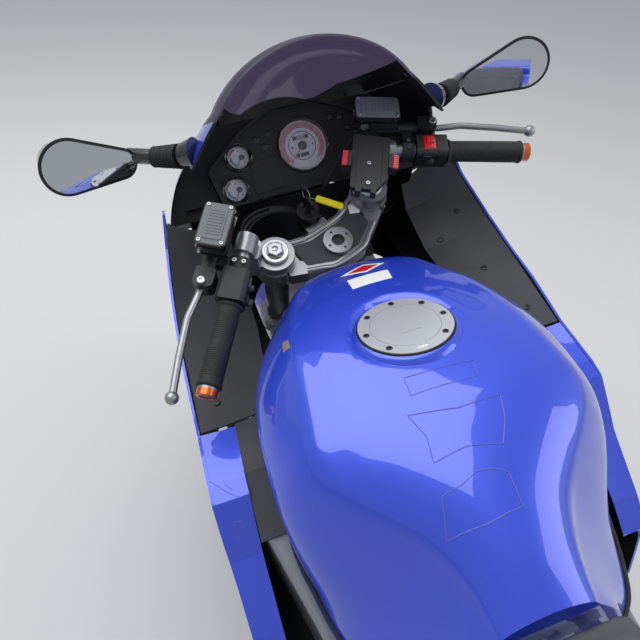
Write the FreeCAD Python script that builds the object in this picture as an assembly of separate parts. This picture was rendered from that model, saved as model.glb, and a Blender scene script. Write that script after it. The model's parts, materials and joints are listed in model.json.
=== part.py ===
import FreeCAD, Part
import math
import os

# A faired sport motorcycle with twin-spar frame, clip-on bars and fully closed side panels.
# It is drawn upright (x right, y forward from the rear axle, z up from the ground, mm),
# then its front end is turned to the left lock and the whole is leaned on its side stand.

# Chassis geometry
WHEELBASE = 1440.0
RAKE = 25.0
TRAIL = 98.0
CLAMP_Z = 866.6             # height of the top clamp's upper face at the steering axis
STEER_LOCK = 22.0           # from straight ahead to either lock
LEAN = 9.8                  # on the side stand

# Wheels and tyres
FRONT_R = 300.0
FRONT_CROWN = 60.0          # radius of the tread's cross-section, also half its width
REAR_R = 315.0
REAR_CROWN = 95.0
REAR_HALF_WIDTH = 90.0
BEAD_R = 218.0
FRONT_RIM_HALF = 44.0
REAR_RIM_HALF = 70.0
RIM_WALL = 8.0
FLANGE_H = 9.0
SPOKES = 5
AXLE_R = 12.5
RUN_FIT = 0.05              # radial play of what turns on a shaft
SEAT_GAP = 0.3              # between curved faces that only lie on each other

# Front brake, rear brake and final drive
FRONT_DISC_R = 155.0
FRONT_DISC_X = 62.0
REAR_DISC_R = 112.0
REAR_DISC_X = 88.0
DISC_T = 5.0
CHAIN_X = -108.0
CHAIN_PITCH = 15.875
CHAIN_WIDTH = 12.0
CHAIN_HEIGHT = 15.0
REAR_TEETH = 43
FRONT_TEETH = 17
OUTPUT_SHAFT = (645.0, 352.0)   # y, z

# Fork and clamps, in the fork's own frame: x right, f forward, u up along the steering axis
FORK_X = 103.0
STANCHION_R = 21.5
SLIDER_R = 29.0
FORK_TOP_U = 28.0
SLIDER_TOP_U = -395.0
CALIPER_ANGLE = 38.0        # behind the slider, from straight up the fork
LUG_HALF = 30.0             # half width of the axle lug under each slider
CLAMP_T = 28.0
LOWER_CLAMP_U = -205.0
STEM_R = 18.0
STEM_BORE_R = 11.0
STEM_NUT_R = 25.0
HEAD_TUBE_R = 33.0

# Bars
BAR_R = 11.0
BAR_U = 71.0
GRIP_R = 16.5
BAR_INNER = (143.0, 56.0)       # x, f of the bar's inner end
GRIP_START = (226.0, -12.0)
GRIP_END = (322.0, -91.0)

# Fuel cap
CAP_Y = 861.0
CAP_Z = 907.0
CAP_TILT = 8.8
CAP_RING_R = 62.0
CAP_TOP = 2.4               # height of flange and lid over the cap's datum plane
CAP_RING_T = 7.0
CAP_LID_R = 45.8
CAP_LID_T = 2.9
CAP_NECK_R = 26.0
CAP_HINGE = (-52.0, -0.6)       # y, z of the pin in the cap's frame
CAP_PIN_R = 1.5
CAP_EYE_R = 3.0
CAP_TONGUE_HALF = 7.0

# Bodywork
PANEL_T = 4.0
SCREEN_T = 3.0
SWINGARM_PIVOT = (590.0, 352.0)
PIVOT_R = 10.0
SHOCK_TOP = (640.0, 585.0)      # y, z of the upper mounting tube
SHOCK_LOW = (466.0, 456.0)      # y, z of the seat on the swingarm's boss
SWINGARM_INNER_X = 124.0
SWINGARM_W = 34.0

# Side stand
STAND_PIVOT = (-204.0, 586.0, 286.0)
STAND_BOLT_R = 6.0
STAND_EYE_HALF = 9.0
STAND_FOOT = (-322.0, 628.0)    # x, y of the foot's middle on the ground
STAND_R = 13.0
STAND_FOOT_SIZE = (46.0, 62.0, 8.0)
STAND_SWING = 92.0

V = FreeCAD.Vector
X_AXIS = V(1, 0, 0)
Y_AXIS = V(0, 1, 0)
Z_AXIS = V(0, 0, 1)
rake = math.radians(RAKE)
FORK_ORIGIN = V(0, WHEELBASE + TRAIL - math.tan(rake) * CLAMP_Z, CLAMP_Z)
FORK_TURN = FreeCAD.Rotation(X_AXIS, RAKE)
FRONT_AXLE = V(0, WHEELBASE, FRONT_R)
REAR_AXLE = V(0, 0, REAR_R)


def to_fork(point):
    """Coordinates (x, f, u) in the fork's frame of a point of the upright machine."""
    return FORK_TURN.inverted().multVec(point - FORK_ORIGIN)


AXLE_F = to_fork(FRONT_AXLE).y
AXLE_U = to_fork(FRONT_AXLE).z


def at(axis, a, b):
    """Vector with its coordinate on the named axis left 0 and the other two a and b."""
    return {"x": V(0, a, b), "y": V(a, 0, b), "z": V(a, b, 0)}[axis]


NORMAL = {"x": X_AXIS, "y": Y_AXIS, "z": Z_AXIS}


def block(x, y, z):
    """Box between the low and high ends given for each axis."""
    return Part.makeBox(x[1] - x[0], y[1] - y[0], z[1] - z[0], V(x[0], y[0], z[0]))


def rod(a, b, r):
    """Round bar of radius r from a to b."""
    return Part.makeCylinder(r, (b - a).Length, a, b - a)


def tube(a, b, r, bore):
    """Round tube from a to b."""
    return rod(a, b, r).cut(rod(a, b, bore))


def taper(a, b, r_a, r_b):
    """Cone frustum from a to b."""
    return Part.makeCone(r_a, r_b, (b - a).Length, a, b - a)


def rounded(corners, axis, level=0.0):
    """Closed wire normal to an axis; each corner is (a, b, radius), radius 0 for a sharp one."""
    points = [at(axis, a, b) + NORMAL[axis] * level for a, b, _ in corners]
    count = len(points)
    edges = []
    ends = []
    for i, (a, b, radius) in enumerate(corners):
        p, before, after = points[i], points[i - 1], points[(i + 1) % count]
        if radius <= 0:
            ends.append((p, None, p))
            continue
        u = (before - p).normalize()
        w = (after - p).normalize()
        half = math.acos(max(-1.0, min(1.0, u.dot(w)))) / 2
        reach = radius / math.tan(half)
        mid = (u + w).normalize()
        centre = p + mid * (radius / math.sin(half))
        ends.append((p + u * reach, centre - mid * radius, p + w * reach))
    for i, (start, mid, end) in enumerate(ends):
        if mid is not None:
            edges.append(Part.Arc(start, mid, end).toShape())
        following = ends[(i + 1) % count][0]
        if (following - end).Length > 1e-6:
            edges.append(Part.LineSegment(end, following).toShape())
    return Part.Wire(edges)


def slab(corners, axis, low, high):
    """Plate with a rounded outline, from low to high along an axis."""
    return Part.Face(rounded(corners, axis, low)).extrude(NORMAL[axis] * (high - low))


def arcs(points):
    """Edges of arcs through points taken in threes that share their ends."""
    return [Part.Arc(points[i], points[i + 1], points[i + 2]).toShape() for i in range(0, len(points) - 2, 2)]


def line(a, b):
    return Part.LineSegment(a, b).toShape()


def loft(wires, ruled=False):
    return Part.makeLoft(wires, True, ruled)


def revolved(profile, centre, axis=X_AXIS, start=0.0, sweep=360.0):
    """Solid turned about an axis through centre; profile is a face in the axis plane."""
    turned = profile.copy()
    if start:
        turned.rotate(centre, axis, start)
    return turned.revolve(centre, axis, sweep)


def wheel_face(corners, centre):
    """Face in the plane of the x axis and the upward radius; corners are (x, radius, corner radius)."""
    wire = rounded(corners, "y", 0)
    wire.translate(centre)
    return Part.Face(wire)


def pipe(points, r, bend, bore=0.0):
    """Bent tube along points, with arcs of radius bend at the inner ones."""
    pts = [V(*p) for p in points]
    edges = []
    start = pts[0]
    for before, p, after in zip(pts, pts[1:], pts[2:]):
        u = (before - p).normalize()
        w = (after - p).normalize()
        half = math.acos(max(-1.0, min(1.0, u.dot(w)))) / 2
        reach = min(bend / math.tan(half), 0.45 * min((before - p).Length, (after - p).Length))
        radius = reach * math.tan(half)
        mid = (u + w).normalize()
        centre = p + mid * (radius / math.sin(half))
        edges.append(line(start, p + u * reach))
        edges.append(Part.Arc(p + u * reach, centre - mid * radius, p + w * reach).toShape())
        start = p + w * reach
    edges.append(line(start, pts[-1]))
    path = Part.Wire(edges)

    def swept(radius):
        ring = Part.Wire([Part.Circle(pts[0], pts[1] - pts[0], radius).toShape()])
        return path.makePipeShell([ring], True, False)
    return swept(r).cut(swept(bore)) if bore else swept(r)


def mirrored(shape):
    return shape.mirror(V(0, 0, 0), X_AXIS)


def both(shape):
    """A shape and its mirror image as one compound of two solids."""
    return Part.makeCompound([shape, mirrored(shape)])


def fused(*shapes):
    whole = shapes[0].fuse(list(shapes[1:])) if len(shapes) > 1 else shapes[0]
    return whole.removeSplitter()


def ring_of(shape, centre, axis, count):
    """Copies of a shape spaced evenly about an axis."""
    copies = []
    for i in range(count):
        copy = shape.copy()
        copy.rotate(centre, axis, 360.0 * i / count)
        copies.append(copy)
    return copies


# Wheels

def tyre(centre, outer, crown, half_width, rim_half):
    """Tyre: a crown arc over the tread, side walls down to the bead, open inside."""
    core = outer - crown
    shoulder = core + math.sqrt(max(crown ** 2 - half_width ** 2, 0.0))
    depth = 14.0
    side = centre + V(half_width, 0, shoulder)
    top = centre + V(0, 0, outer)
    bead_out = centre + V(rim_half, 0, BEAD_R)
    bead_in = centre + V(rim_half - 12, 0, BEAD_R)
    inner_side = centre + V(half_width - depth, 0, shoulder - 2)
    inner_top = centre + V(0, 0, outer - depth)

    def flip(p):
        return V(-p.x, p.y, p.z)
    wall_foot = bead_out + V(0, 0, FLANGE_H + 2)
    bulge = centre + V((half_width + rim_half) / 2 + 5.5, 0, (shoulder + BEAD_R + FLANGE_H) / 2)
    inner_bulge = centre + V(half_width - depth, 0, (shoulder + BEAD_R) / 2 + 4)
    edges = [Part.Arc(side, top, flip(side)).toShape(),
             Part.Arc(flip(side), flip(bulge), flip(wall_foot)).toShape(),
             line(flip(wall_foot), flip(bead_out)),
             line(flip(bead_out), flip(bead_in)),
             Part.Arc(flip(bead_in), flip(inner_bulge), flip(inner_side)).toShape(),
             Part.Arc(flip(inner_side), inner_top, inner_side).toShape(),
             Part.Arc(inner_side, inner_bulge, bead_in).toShape(),
             line(bead_in, bead_out),
             line(bead_out, wall_foot),
             Part.Arc(wall_foot, bulge, side).toShape()]
    return revolved(Part.Face(Part.Wire(edges)), centre)


def rim(centre, half, hub_r, hub_half, bore):
    """Cast wheel: barrel with flanges, five split spokes and a hub."""
    seat = BEAD_R - SEAT_GAP
    lip = BEAD_R + FLANGE_H
    inner = seat - RIM_WALL
    well = inner - 14
    section = [(-half - 7, lip, 2), (-half - 1, lip, 2), (-half - 1, seat, 0), (-half + 16, seat, 3),
               (-half + 26, well + RIM_WALL, 3), (half - 26, well + RIM_WALL, 3), (half - 16, seat, 3),
               (half + 1, seat, 0), (half + 1, lip, 2), (half + 7, lip, 2), (half + 7, inner, 3),
               (half - 18, inner - 2, 3), (half - 30, well, 3), (-half + 30, well, 3),
               (-half + 18, inner - 2, 3), (-half - 7, inner, 3)]
    barrel = revolved(wheel_face(section, centre), centre)
    hub = revolved(wheel_face([(-hub_half, bore, 0), (-hub_half, hub_r - 6, 3), (-hub_half + 14, hub_r, 4),
                               (hub_half - 14, hub_r, 4), (hub_half, hub_r - 6, 3), (hub_half, bore, 0)],
                              centre), centre)
    low = hub_r - 6
    high = well + 3
    arm = slab([(-24, low, 0), (-13, high, 0), (13, high, 0), (24, low, 0)], "x", -17, 17)
    window = slab([(-9, low + 30, 4), (-4.5, high - 26, 3), (4.5, high - 26, 3), (9, low + 30, 4)], "x", -18,
                  18)
    arm = arm.cut(window)
    arm.translate(centre)
    return fused(barrel, hub, *ring_of(arm, centre, X_AXIS, SPOKES))


def brake_disc(centre, x, outer, inner, carrier_r, hub_r, boss_to):
    """Disc with its carrier and the boss that bolts it to the hub."""
    c = centre + V(x, 0, 0)
    half = DISC_T / 2
    face = wheel_face([(-half, inner, 0), (-half, outer, 0.5), (half, outer, 0.5), (half, inner, 0)], c)
    plate = revolved(face, centre)
    hole = rod(c + V(-10, 0, (inner + outer) / 2), c + V(10, 0, (inner + outer) / 2), 5)
    plate = plate.cut(Part.makeCompound(ring_of(hole, centre, X_AXIS, 12)))
    spider = slab([(-16, hub_r, 0), (-9, inner + 4, 2), (9, inner + 4, 2), (16, hub_r, 0)], "x",
                  -half + 0.5, half - 0.5)
    spider.translate(c)
    carrier = rod(c + V(-half + 0.5, 0, 0), c + V(half - 0.5, 0, 0), carrier_r)
    boss = rod(V(min(boss_to, x), centre.y, centre.z), V(max(boss_to, x), centre.y, centre.z), hub_r + 6)
    whole = fused(plate, carrier, boss, *ring_of(spider, centre, X_AXIS, 5))
    return whole.cut(rod(centre + V(x - 60, 0, 0), centre + V(x + 60, 0, 0), hub_r - 8))


def sprocket_teeth(centre, pitch_r, teeth, thickness):
    """Toothed disc whose roller seats are cut at the pitch circle."""
    disc = rod(centre + V(-thickness / 2, 0, 0), centre + V(thickness / 2, 0, 0), pitch_r + 5.5)
    seat = rod(centre + V(-thickness, 0, pitch_r), centre + V(thickness, 0, pitch_r), 5.2)
    gap = slab([(-5.1, pitch_r, 0), (-8.2, pitch_r + 9, 0), (8.2, pitch_r + 9, 0), (5.1, pitch_r, 0)], "x",
               -thickness, thickness)
    gap.translate(centre)
    cutter = seat.fuse(gap)
    return disc.cut(Part.makeCompound(ring_of(cutter, centre, X_AXIS, teeth)))


def pitch_radius(teeth):
    return CHAIN_PITCH / 2 / math.sin(math.pi / teeth)


# The two sprockets and the belt-like outline of the chain around them
REAR_PITCH_R = pitch_radius(REAR_TEETH)
FRONT_PITCH_R = pitch_radius(FRONT_TEETH)
SHAFT = V(CHAIN_X, OUTPUT_SHAFT[0], OUTPUT_SHAFT[1])
REAR_SPROCKET = V(CHAIN_X, REAR_AXLE.y, REAR_AXLE.z)


def chain_wire(offset):
    """Outline of the chain at an offset from its pitch line: two arcs and two tangents."""
    r1, r2 = REAR_PITCH_R + offset, FRONT_PITCH_R + offset
    span = SHAFT - REAR_SPROCKET
    length = span.Length
    along = V(span).normalize()
    across = V(0, -along.z, along.y)
    tilt = math.asin((r1 - r2) / length)

    def on(centre, r, angle):
        return centre + (along * math.cos(angle) + across * math.sin(angle)) * r
    upper = math.pi / 2 - tilt
    top1, top2 = on(REAR_SPROCKET, r1, upper), on(SHAFT, r2, upper)
    low1, low2 = on(REAR_SPROCKET, r1, -upper), on(SHAFT, r2, -upper)
    return Part.Wire([line(top1, top2), Part.Arc(top2, on(SHAFT, r2, 0), low2).toShape(),
                      line(low2, low1), Part.Arc(low1, on(REAR_SPROCKET, r1, math.pi), top1).toShape()])


def make_chain():
    half = CHAIN_HEIGHT / 2
    outer = Part.Face(chain_wire(half)).extrude(X_AXIS * CHAIN_WIDTH)
    inner = Part.Face(chain_wire(-half)).extrude(X_AXIS * CHAIN_WIDTH)
    belt = outer.cut(inner)
    belt.translate(V(-CHAIN_WIDTH / 2, 0, 0))
    slot_t = 6.6
    slot = Part.Face(chain_wire(6.2)).extrude(X_AXIS * slot_t)
    slot.translate(V(-slot_t / 2, 0, 0))
    return belt.cut(slot)


# Chassis

RAIL_PATH = [(188, 665, 580), (140, 520, 640), (118, 250, 690), (80, -160, 760)]
RAIL_R = 13.0


def make_frame():
    """Twin spars from the steering head round the tank to the swingarm plates, and the seat rails."""
    head_low, head_high = LOWER_CLAMP_U + 26, -CLAMP_T - 3
    head = tube(V(0, 0, head_low), V(0, 0, head_high), HEAD_TUBE_R, STEM_R + RUN_FIT)
    head = from_fork(head)
    # x, y, z of the spar's middle, half height, half thickness
    spar_table = [(44, 1085, 742, 62, 16), (130, 1020, 728, 58, 18), (222, 900, 690, 54, 19),
                  (230, 780, 640, 52, 19), (196, 650, 560, 54, 17), (170, 590, 480, 56, 15)]
    sections = []
    for x, y, z, half_h, half_t in spar_table:
        wire = rounded([(-half_t, -half_h, 6), (-half_t, half_h, 10), (half_t, half_h, 10),
                       (half_t, -half_h, 6)], "y")
        wire.translate(V(x, y, z))
        sections.append(wire)
    spar = loft(sections, True)
    gusset = slab([(1030, 690, 10), (1110, 652, 10), (1138, 706, 6), (1178, 726, 0), (1133, 822, 0),
                  (1050, 800, 10)], "x", 0, 62)
    plate = slab([(548, 250, 18), (640, 262, 18), (650, 470, 30), (615, 545, 20), (556, 520, 20),
                 (540, 400, 20)], "x", 158, 182)
    rail = pipe(RAIL_PATH, RAIL_R, 60)
    half = fused(spar, gusset, plate, rail)
    half = half.cut(rod(V(0, *SWINGARM_PIVOT), V(200, *SWINGARM_PIVOT), PIVOT_R + RUN_FIT))
    cross = [rod(V(-180, *SHOCK_TOP), V(180, *SHOCK_TOP), 17), rod(V(-88, -120, 752), V(88, -120, 752), 9),
             rod(V(-122, 300, 683), V(122, 300, 683), 9), rod(V(-160, 575, 275), V(160, 575, 275), 12)]
    bore = from_fork(rod(V(0, 0, -230), V(0, 0, 20), STEM_R + RUN_FIT))
    return fused(head, half, mirrored(half), *cross, make_stand_lug(), *make_steering_stops()).cut(bore)


# Steering stop: a lug behind the lower clamp meets one of two on the head tube at each lock
STOP_HALF = 12.0
STOP_BACK = 62.0


def make_steering_stops():
    lock = math.radians(STEER_LOCK)
    face = STOP_HALF * math.cos(lock) + STOP_BACK * math.sin(lock) + 0.4
    top, over = LOWER_CLAMP_U + 72, LOWER_CLAMP_U + 57
    lug = fused(block((18, face + 12), (-38, -8), (over, top)),
                block((face, face + 12), (-STOP_BACK, -30), (LOWER_CLAMP_U + 34, top)))
    return [from_fork(lug), from_fork(mirrored(lug))]


def make_stand_lug():
    """Boss on the left pivot plate with the side stand's bolt."""
    pivot = V(*STAND_PIVOT)
    axis = STANCE.Rotation.inverted().multVec(stand_axis())
    face = STAND_EYE_HALF + SEAT_GAP
    return fused(rod(pivot - axis * face, pivot - axis * 34, 16),
                 rod(pivot - axis * 20, pivot + axis * face, STAND_BOLT_R),
                 rod(pivot + axis * face, pivot + axis * (face + 5), 10))


# Places on the engine's front that the exhaust and the radiator seat on
PORT_X = (-128, -46, 46, 128)
PORT_Y, PORT_Z = 1078, 572
STAY_X, STAY_Y, STAY_Z = 87, 1092, 604


def make_engine():
    """Engine and gearbox as one block: crankcase, cylinders inclined forward, clutch and generator covers."""
    case = slab([(668, 262, 40), (1000, 240, 50), (1012, 430, 40), (940, 500, 20), (700, 470, 50)], "x",
                -150, 150)
    barrel = slab([(800, 450, 0), (975, 440, 0), (1056, 630, 18), (890, 668, 18)], "x", -148, 148)
    bosses = [rod(V(x, 1000, STAY_Z), V(x, STAY_Y, STAY_Z), 9) for x in (-STAY_X, STAY_X)]
    bosses += [rod(V(x, 1010, PORT_Z + 20), V(x, PORT_Y, PORT_Z), 23) for x in PORT_X]
    clutch = rod(V(150, 760, 365), V(186, 760, 365), 82)
    generator = rod(V(-186, 900, 355), V(-150, 900, 355), 72)
    shaft = rod(V(CHAIN_X - 14, *OUTPUT_SHAFT), V(-90, *OUTPUT_SHAFT), 16)
    sprocket = sprocket_teeth(SHAFT, FRONT_PITCH_R, FRONT_TEETH, 6)
    nose = block((-90, 90), (645, 705), (315, 395))
    relief = rod(V(-151, *OUTPUT_SHAFT), V(-91, *OUTPUT_SHAFT), 60)
    return fused(case.cut(relief), nose, barrel, clutch, generator, shaft, sprocket, *bosses)


def make_radiator():
    """Radiator core with side tanks and the stays that hang it on the cylinder head."""
    core = slab([(1116, 410, 4), (1140, 410, 4), (1158, 636, 4), (1134, 636, 4)], "x", -150, 150)
    tank = slab([(1112, 404, 6), (1144, 404, 6), (1162, 640, 6), (1130, 640, 6)], "x", 150, 176)
    stay = rod(V(STAY_X, STAY_Y + SEAT_GAP, STAY_Z), V(STAY_X, 1140, STAY_Z), 7)
    return fused(core, tank, mirrored(tank), stay, mirrored(stay))


# y, shoulder x, shoulder z, crown z, flank x, flank z, base x, base z
TANK_SECTIONS = [(1016, 66, 846, 866, 92, 816, 88, 772), (945, 118, 866, 897, 164, 820, 150, 746),
                 (845, 150, 874, 909, 202, 818, 186, 728), (745, 152, 868, 906, 213, 806, 192, 720),
                 (650, 126, 846, 888, 190, 788, 168, 716), (575, 94, 818, 856, 142, 776, 126, 720),
                 (517, 62, 792, 820, 98, 764, 92, 730)]


def tank_wire(y, sx, sz, top, fx, fz, bx, bz):
    right = [V(sx, y, sz), V(fx, y, fz), V(bx, y, bz)]
    left = [V(-p.x, p.y, p.z) for p in reversed(right)]
    crown = Part.Arc(left[-1], V(0, y, top), right[0]).toShape()
    return Part.Wire([crown] + arcs(right) + [line(right[-1], left[0])] + arcs(left))


def from_cap(shape):
    """Move a shape from the fuel cap's frame to the machine."""
    shape = shape.copy()
    seat = FreeCAD.Placement(V(0, CAP_Y, CAP_Z), FreeCAD.Rotation(X_AXIS, -CAP_TILT))
    shape.Placement = seat.multiply(shape.Placement)
    return shape


def make_tank():
    """Fuel tank: crowned body with knee recesses, a boss under the cap and the filler neck."""
    body = loft([tank_wire(*row) for row in TANK_SECTIONS])
    boss = from_cap(taper(V(0, 0, -22), V(0, 0, 0), CAP_RING_R + 14, CAP_RING_R + 3))
    seat = from_cap(rod(V(0, 0, CAP_TOP - CAP_RING_T), V(0, 0, 60), CAP_RING_R + SEAT_GAP))
    neck = from_cap(rod(V(0, 0, -70), V(0, 0, 10), CAP_NECK_R))
    head = from_fork(rod(V(0, 0, -200), V(0, 0, 20), HEAD_TUBE_R + 12))
    return fused(body, boss).cut(seat).cut(neck).cut(head)


def make_filler_ring():
    """Flange of the fuel cap, with the lid's recess and the pocket that holds the hinge pin at its rear."""
    low = CAP_TOP - CAP_RING_T
    ledge = CAP_TOP - CAP_LID_T - SEAT_GAP
    y, z = CAP_HINGE
    ring = rod(V(0, 0, low), V(0, 0, CAP_TOP), CAP_RING_R).cut(rod(V(0, 0, ledge), V(0, 0, 9), CAP_LID_R +
               0.4))
    ring = ring.cut(rod(V(0, 0, low - 1), V(0, 0, 9), CAP_NECK_R))
    half = CAP_TONGUE_HALF + SEAT_GAP
    pocket = block((-half, half), (y - CAP_EYE_R - 0.6, y + 14), (z - CAP_EYE_R - SEAT_GAP, 9))
    pin = rod(V(-half - 1, y, z), V(half + 1, y, z), CAP_PIN_R)
    return from_cap(fused(ring.cut(pocket), pin))


def make_fuel_cap():
    """Lid flush in its flange, the tongue that turns on the hinge pin and the plug that closes the neck."""
    y, z = CAP_HINGE
    under = CAP_TOP - CAP_LID_T
    lid = taper(V(0, 0, under), V(0, 0, CAP_TOP), CAP_LID_R - 1.8, CAP_LID_R)
    plug = rod(V(0, 0, -7), V(0, 0, under), 20)
    half = CAP_TONGUE_HALF
    tongue = block((-half, half), (y, y + 14), (under, CAP_TOP)).fuse(rod(V(-half, y, z), V(half, y, z),
                   CAP_EYE_R))
    line_cut = block((-15, 15), (-17, -16.2), (CAP_TOP - 0.8, 5))
    lid = fused(lid, plug, tongue).cut(line_cut)
    return from_cap(lid.cut(rod(V(-half - 1, y, z), V(half + 1, y, z), CAP_PIN_R + RUN_FIT)))


def make_seat():
    """Rider's and pillion's seat in one pad."""
    side = slab([(514, 748, 8), (511, 800, 10), (430, 790, 60), (230, 792, 60), (150, 812, 30),
                 (110, 868, 30), (-60, 872, 60), (-205, 856, 16), (-200, 826, 8), (90, 812, 20),
                 (130, 765, 20), (430, 744, 30)], "x", -160, 160)
    plan = slab([(-78, 514, 20), (78, 514, 20), (128, 400, 60), (152, 230, 60), (120, 60, 40),
                 (96, -120, 40), (70, -205, 20), (-70, -205, 20), (-96, -120, 40), (-120, 60, 40),
                 (-152, 230, 60), (-128, 400, 60)], "z", 700, 900)
    return side.common(plan)


def make_tail():
    """Tail fairing under and around the seat, up to the tail lamp."""
    side = slab([(500, 700, 20), (505, 744, 10), (430, 743, 30), (130, 764, 20), (90, 811, 20),
                 (-200, 825, 8), (-207, 858, 10), (-345, 868, 14), (-372, 838, 10), (-330, 800, 10),
                 (-150, 740, 60), (150, 690, 80)], "x", -170, 170)
    plan = slab([(-86, 505, 20), (86, 505, 20), (136, 400, 60), (160, 230, 60), (128, 40, 60),
                 (106, -140, 60), (62, -372, 20), (-62, -372, 20), (-106, -140, 60), (-128, 40, 60),
                 (-160, 230, 60), (-136, 400, 60)], "z", 600, 900)
    body = side.common(plan)
    hollow = slab([(520, 650, 0), (520, 735, 0), (430, 733, 30), (140, 752, 20), (100, 795, 20),
                   (-200, 805, 10), (-205, 700, 10), (60, 640, 0)], "x", -100, 100)
    lamp = block((-58, 58), (-400, -340), (806, 852))
    rails = both(pipe(RAIL_PATH, RAIL_R + SEAT_GAP, 60))
    return body.cut(hollow).cut(lamp).cut(rails)


def make_rear_lamps():
    """Tail lamp in the end of the tail, and two indicators on stalks."""
    lens = slab([(-57, 808, 8), (57, 808, 8), (48, 850, 8), (-48, 850, 8)], "y", -366, -341)
    stalk = rod(V(66, -305, 742), V(96, -305, 742), 7)
    body = rod(V(96, -314, 742), V(146, -314, 742), 16).cut(block((90, 150), (-300, -290), (720, 770)))
    stalk = fused(stalk, body)
    return Part.makeCompound([lens, stalk, mirrored(stalk)])


def make_rear_mudguard():
    """Undertray behind the seat with the bare plate that hangs from it."""
    tray = slab([(40, 680, 0), (-200, 726, 60), (-334, 792, 0), (-330, 780, 0), (-200, 718, 60),
                (40, 672, 0)], "x", -66, 66)
    flap = slab([(-66, 0, 0), (66, 0, 0), (50, -180, 12), (-50, -180, 12)], "y", -3, 3)
    plate = slab([(-90, -110, 8), (90, -110, 8), (90, -240, 8), (-90, -240, 8)], "y", -3 - SEAT_GAP - 2, -3 -
                 SEAT_GAP)
    hang = FreeCAD.Placement(V(0, -330, 785), FreeCAD.Rotation(X_AXIS, -13))
    flap.Placement = hang
    plate.Placement = hang
    return Part.makeCompound([fused(tray, flap), plate])


# Nose: one inverted-U skin that carries the screen above its split line.
# y, flank foot x and z, flank x and z, screen edge x and z, crown z
NOSE_SECTIONS = [(1165, 250, 940, 219, 1010, 144, 1111, 1184), (1290, 260, 880, 229, 960, 146, 1062, 1142),
                 (1410, 246, 800, 206, 900, 124, 1008, 1066), (1520, 190, 740, 158, 830, 90, 936, 968),
                 (1605, 92, 730, 82, 780, 48, 842, 856)]


def nose_wire(row, wall):
    """Closed section of the skin, or of the solid under it where wall is 0."""
    y, x0, z0, x1, z1, x2, z2, top = row
    right = [V(x2, y, z2), V(x1, y, z1), V(x0, y, z0)]
    left = [V(-p.x, p.y, p.z) for p in reversed(right)]
    outer = arcs(left) + arcs([left[-1], V(0, y, top), right[0]]) + arcs(right)
    if not wall:
        return Part.Wire(outer + [line(right[-1], left[0])])
    slant = wall * 0.75
    inner_right = [V(x2 - slant, y, z2 - slant), V(x1 - wall, y, z1 - wall * 0.3), V(x0 - wall, y, z0)]
    inner_left = [V(-p.x, p.y, p.z) for p in reversed(inner_right)]
    inner = (arcs(list(reversed(inner_right))) + arcs([inner_right[0], V(0, y, top - wall), inner_left[-1]])
             + arcs(list(reversed(inner_left))))
    return Part.Wire(outer + [line(right[-1], inner_right[-1])] + inner + [line(inner_left[0], left[0])])


def screen_zone():
    """Everything above the line where the screen meets the nose."""
    return slab([(1100, 1108, 0), (1175, 1096, 0), (1290, 1044, 60), (1410, 990, 60), (1520, 925, 40),
                 (1600, 878, 0), (1600, 1300, 0), (1100, 1300, 0)], "x", -300, 300)


def lamp_zone(grow):
    """Twin headlamp outline seen from the front, carried through the nose."""
    g = grow
    return slab([(-128 - g, 786 - g, 16), (-30, 764 - g, 30), (30, 764 - g, 30), (128 + g, 786 - g, 16),
                 (104 + g, 846 + g, 16), (30, 812 + g, 30), (-30, 812 + g, 30), (-104 - g, 846 + g, 16)],
                 "y", 1440, 1700)


def make_nose():
    skin = loft([nose_wire(row, PANEL_T) for row in NOSE_SECTIONS])
    tip = NOSE_SECTIONS[-1]
    cap = Part.Face(nose_wire(tip, 0)).extrude(V(0, PANEL_T, 0))
    duct = slab([(-60, 700, 0), (60, 700, 0), (60, 748, 8), (-60, 748, 8)], "y", 1560, 1700)
    back = slab([(1100, 1036, 0), (1188, 1036, 16), (1216, 1024, 20), (1256, 975, 20), (1278, 915, 20),
                 (1268, 700, 0), (1100, 700, 0)], "x", -300, 300)
    return fused(skin, cap).cut(screen_zone()).cut(lamp_zone(1.0)).cut(duct).cut(back)


def make_windscreen():
    skin = loft([nose_wire(row, SCREEN_T) for row in NOSE_SECTIONS])
    return skin.common(screen_zone())


def make_front_lamps():
    """Twin lens under the nose's outline, its reflector box and the side indicators."""
    skin = loft([nose_wire(row, SCREEN_T) for row in NOSE_SECTIONS])
    tip = Part.Face(nose_wire(NOSE_SECTIONS[-1], 0)).extrude(V(0, PANEL_T, 0))
    lens = fused(skin, tip).common(lamp_zone(0.0))
    bowl = slab([(-90, 780, 12), (90, 780, 12), (80, 838, 12), (-80, 838, 12)], "y", 1450, 1540)
    return Part.makeCompound([lens, bowl])


DASH_TILT = 33.5
DASH_CENTRE = V(0, 1311, 965)


def from_dash(shape):
    """Move a shape from the dash's frame (x right, y up the panel, z out to the rider) to the machine."""
    shape = shape.copy()
    turn = FreeCAD.Rotation(X_AXIS, 90 - DASH_TILT)
    shape.Placement = FreeCAD.Placement(DASH_CENTRE, turn).multiply(shape.Placement)
    return shape


DASH_OUTLINE = [(-172, -8, 14), (-160, -78, 22), (-60, -72, 20), (60, -72, 20), (160, -78, 22), (172, -8, 14),
                (100, 46, 26), (40, 74, 30), (-40, 74, 30), (-100, 46, 26)]
# x, y, radius of each dial
DIALS = [(4, 0, 43.5), (-114, 4, 21.5), (-133, -49, 21.5)]


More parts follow.
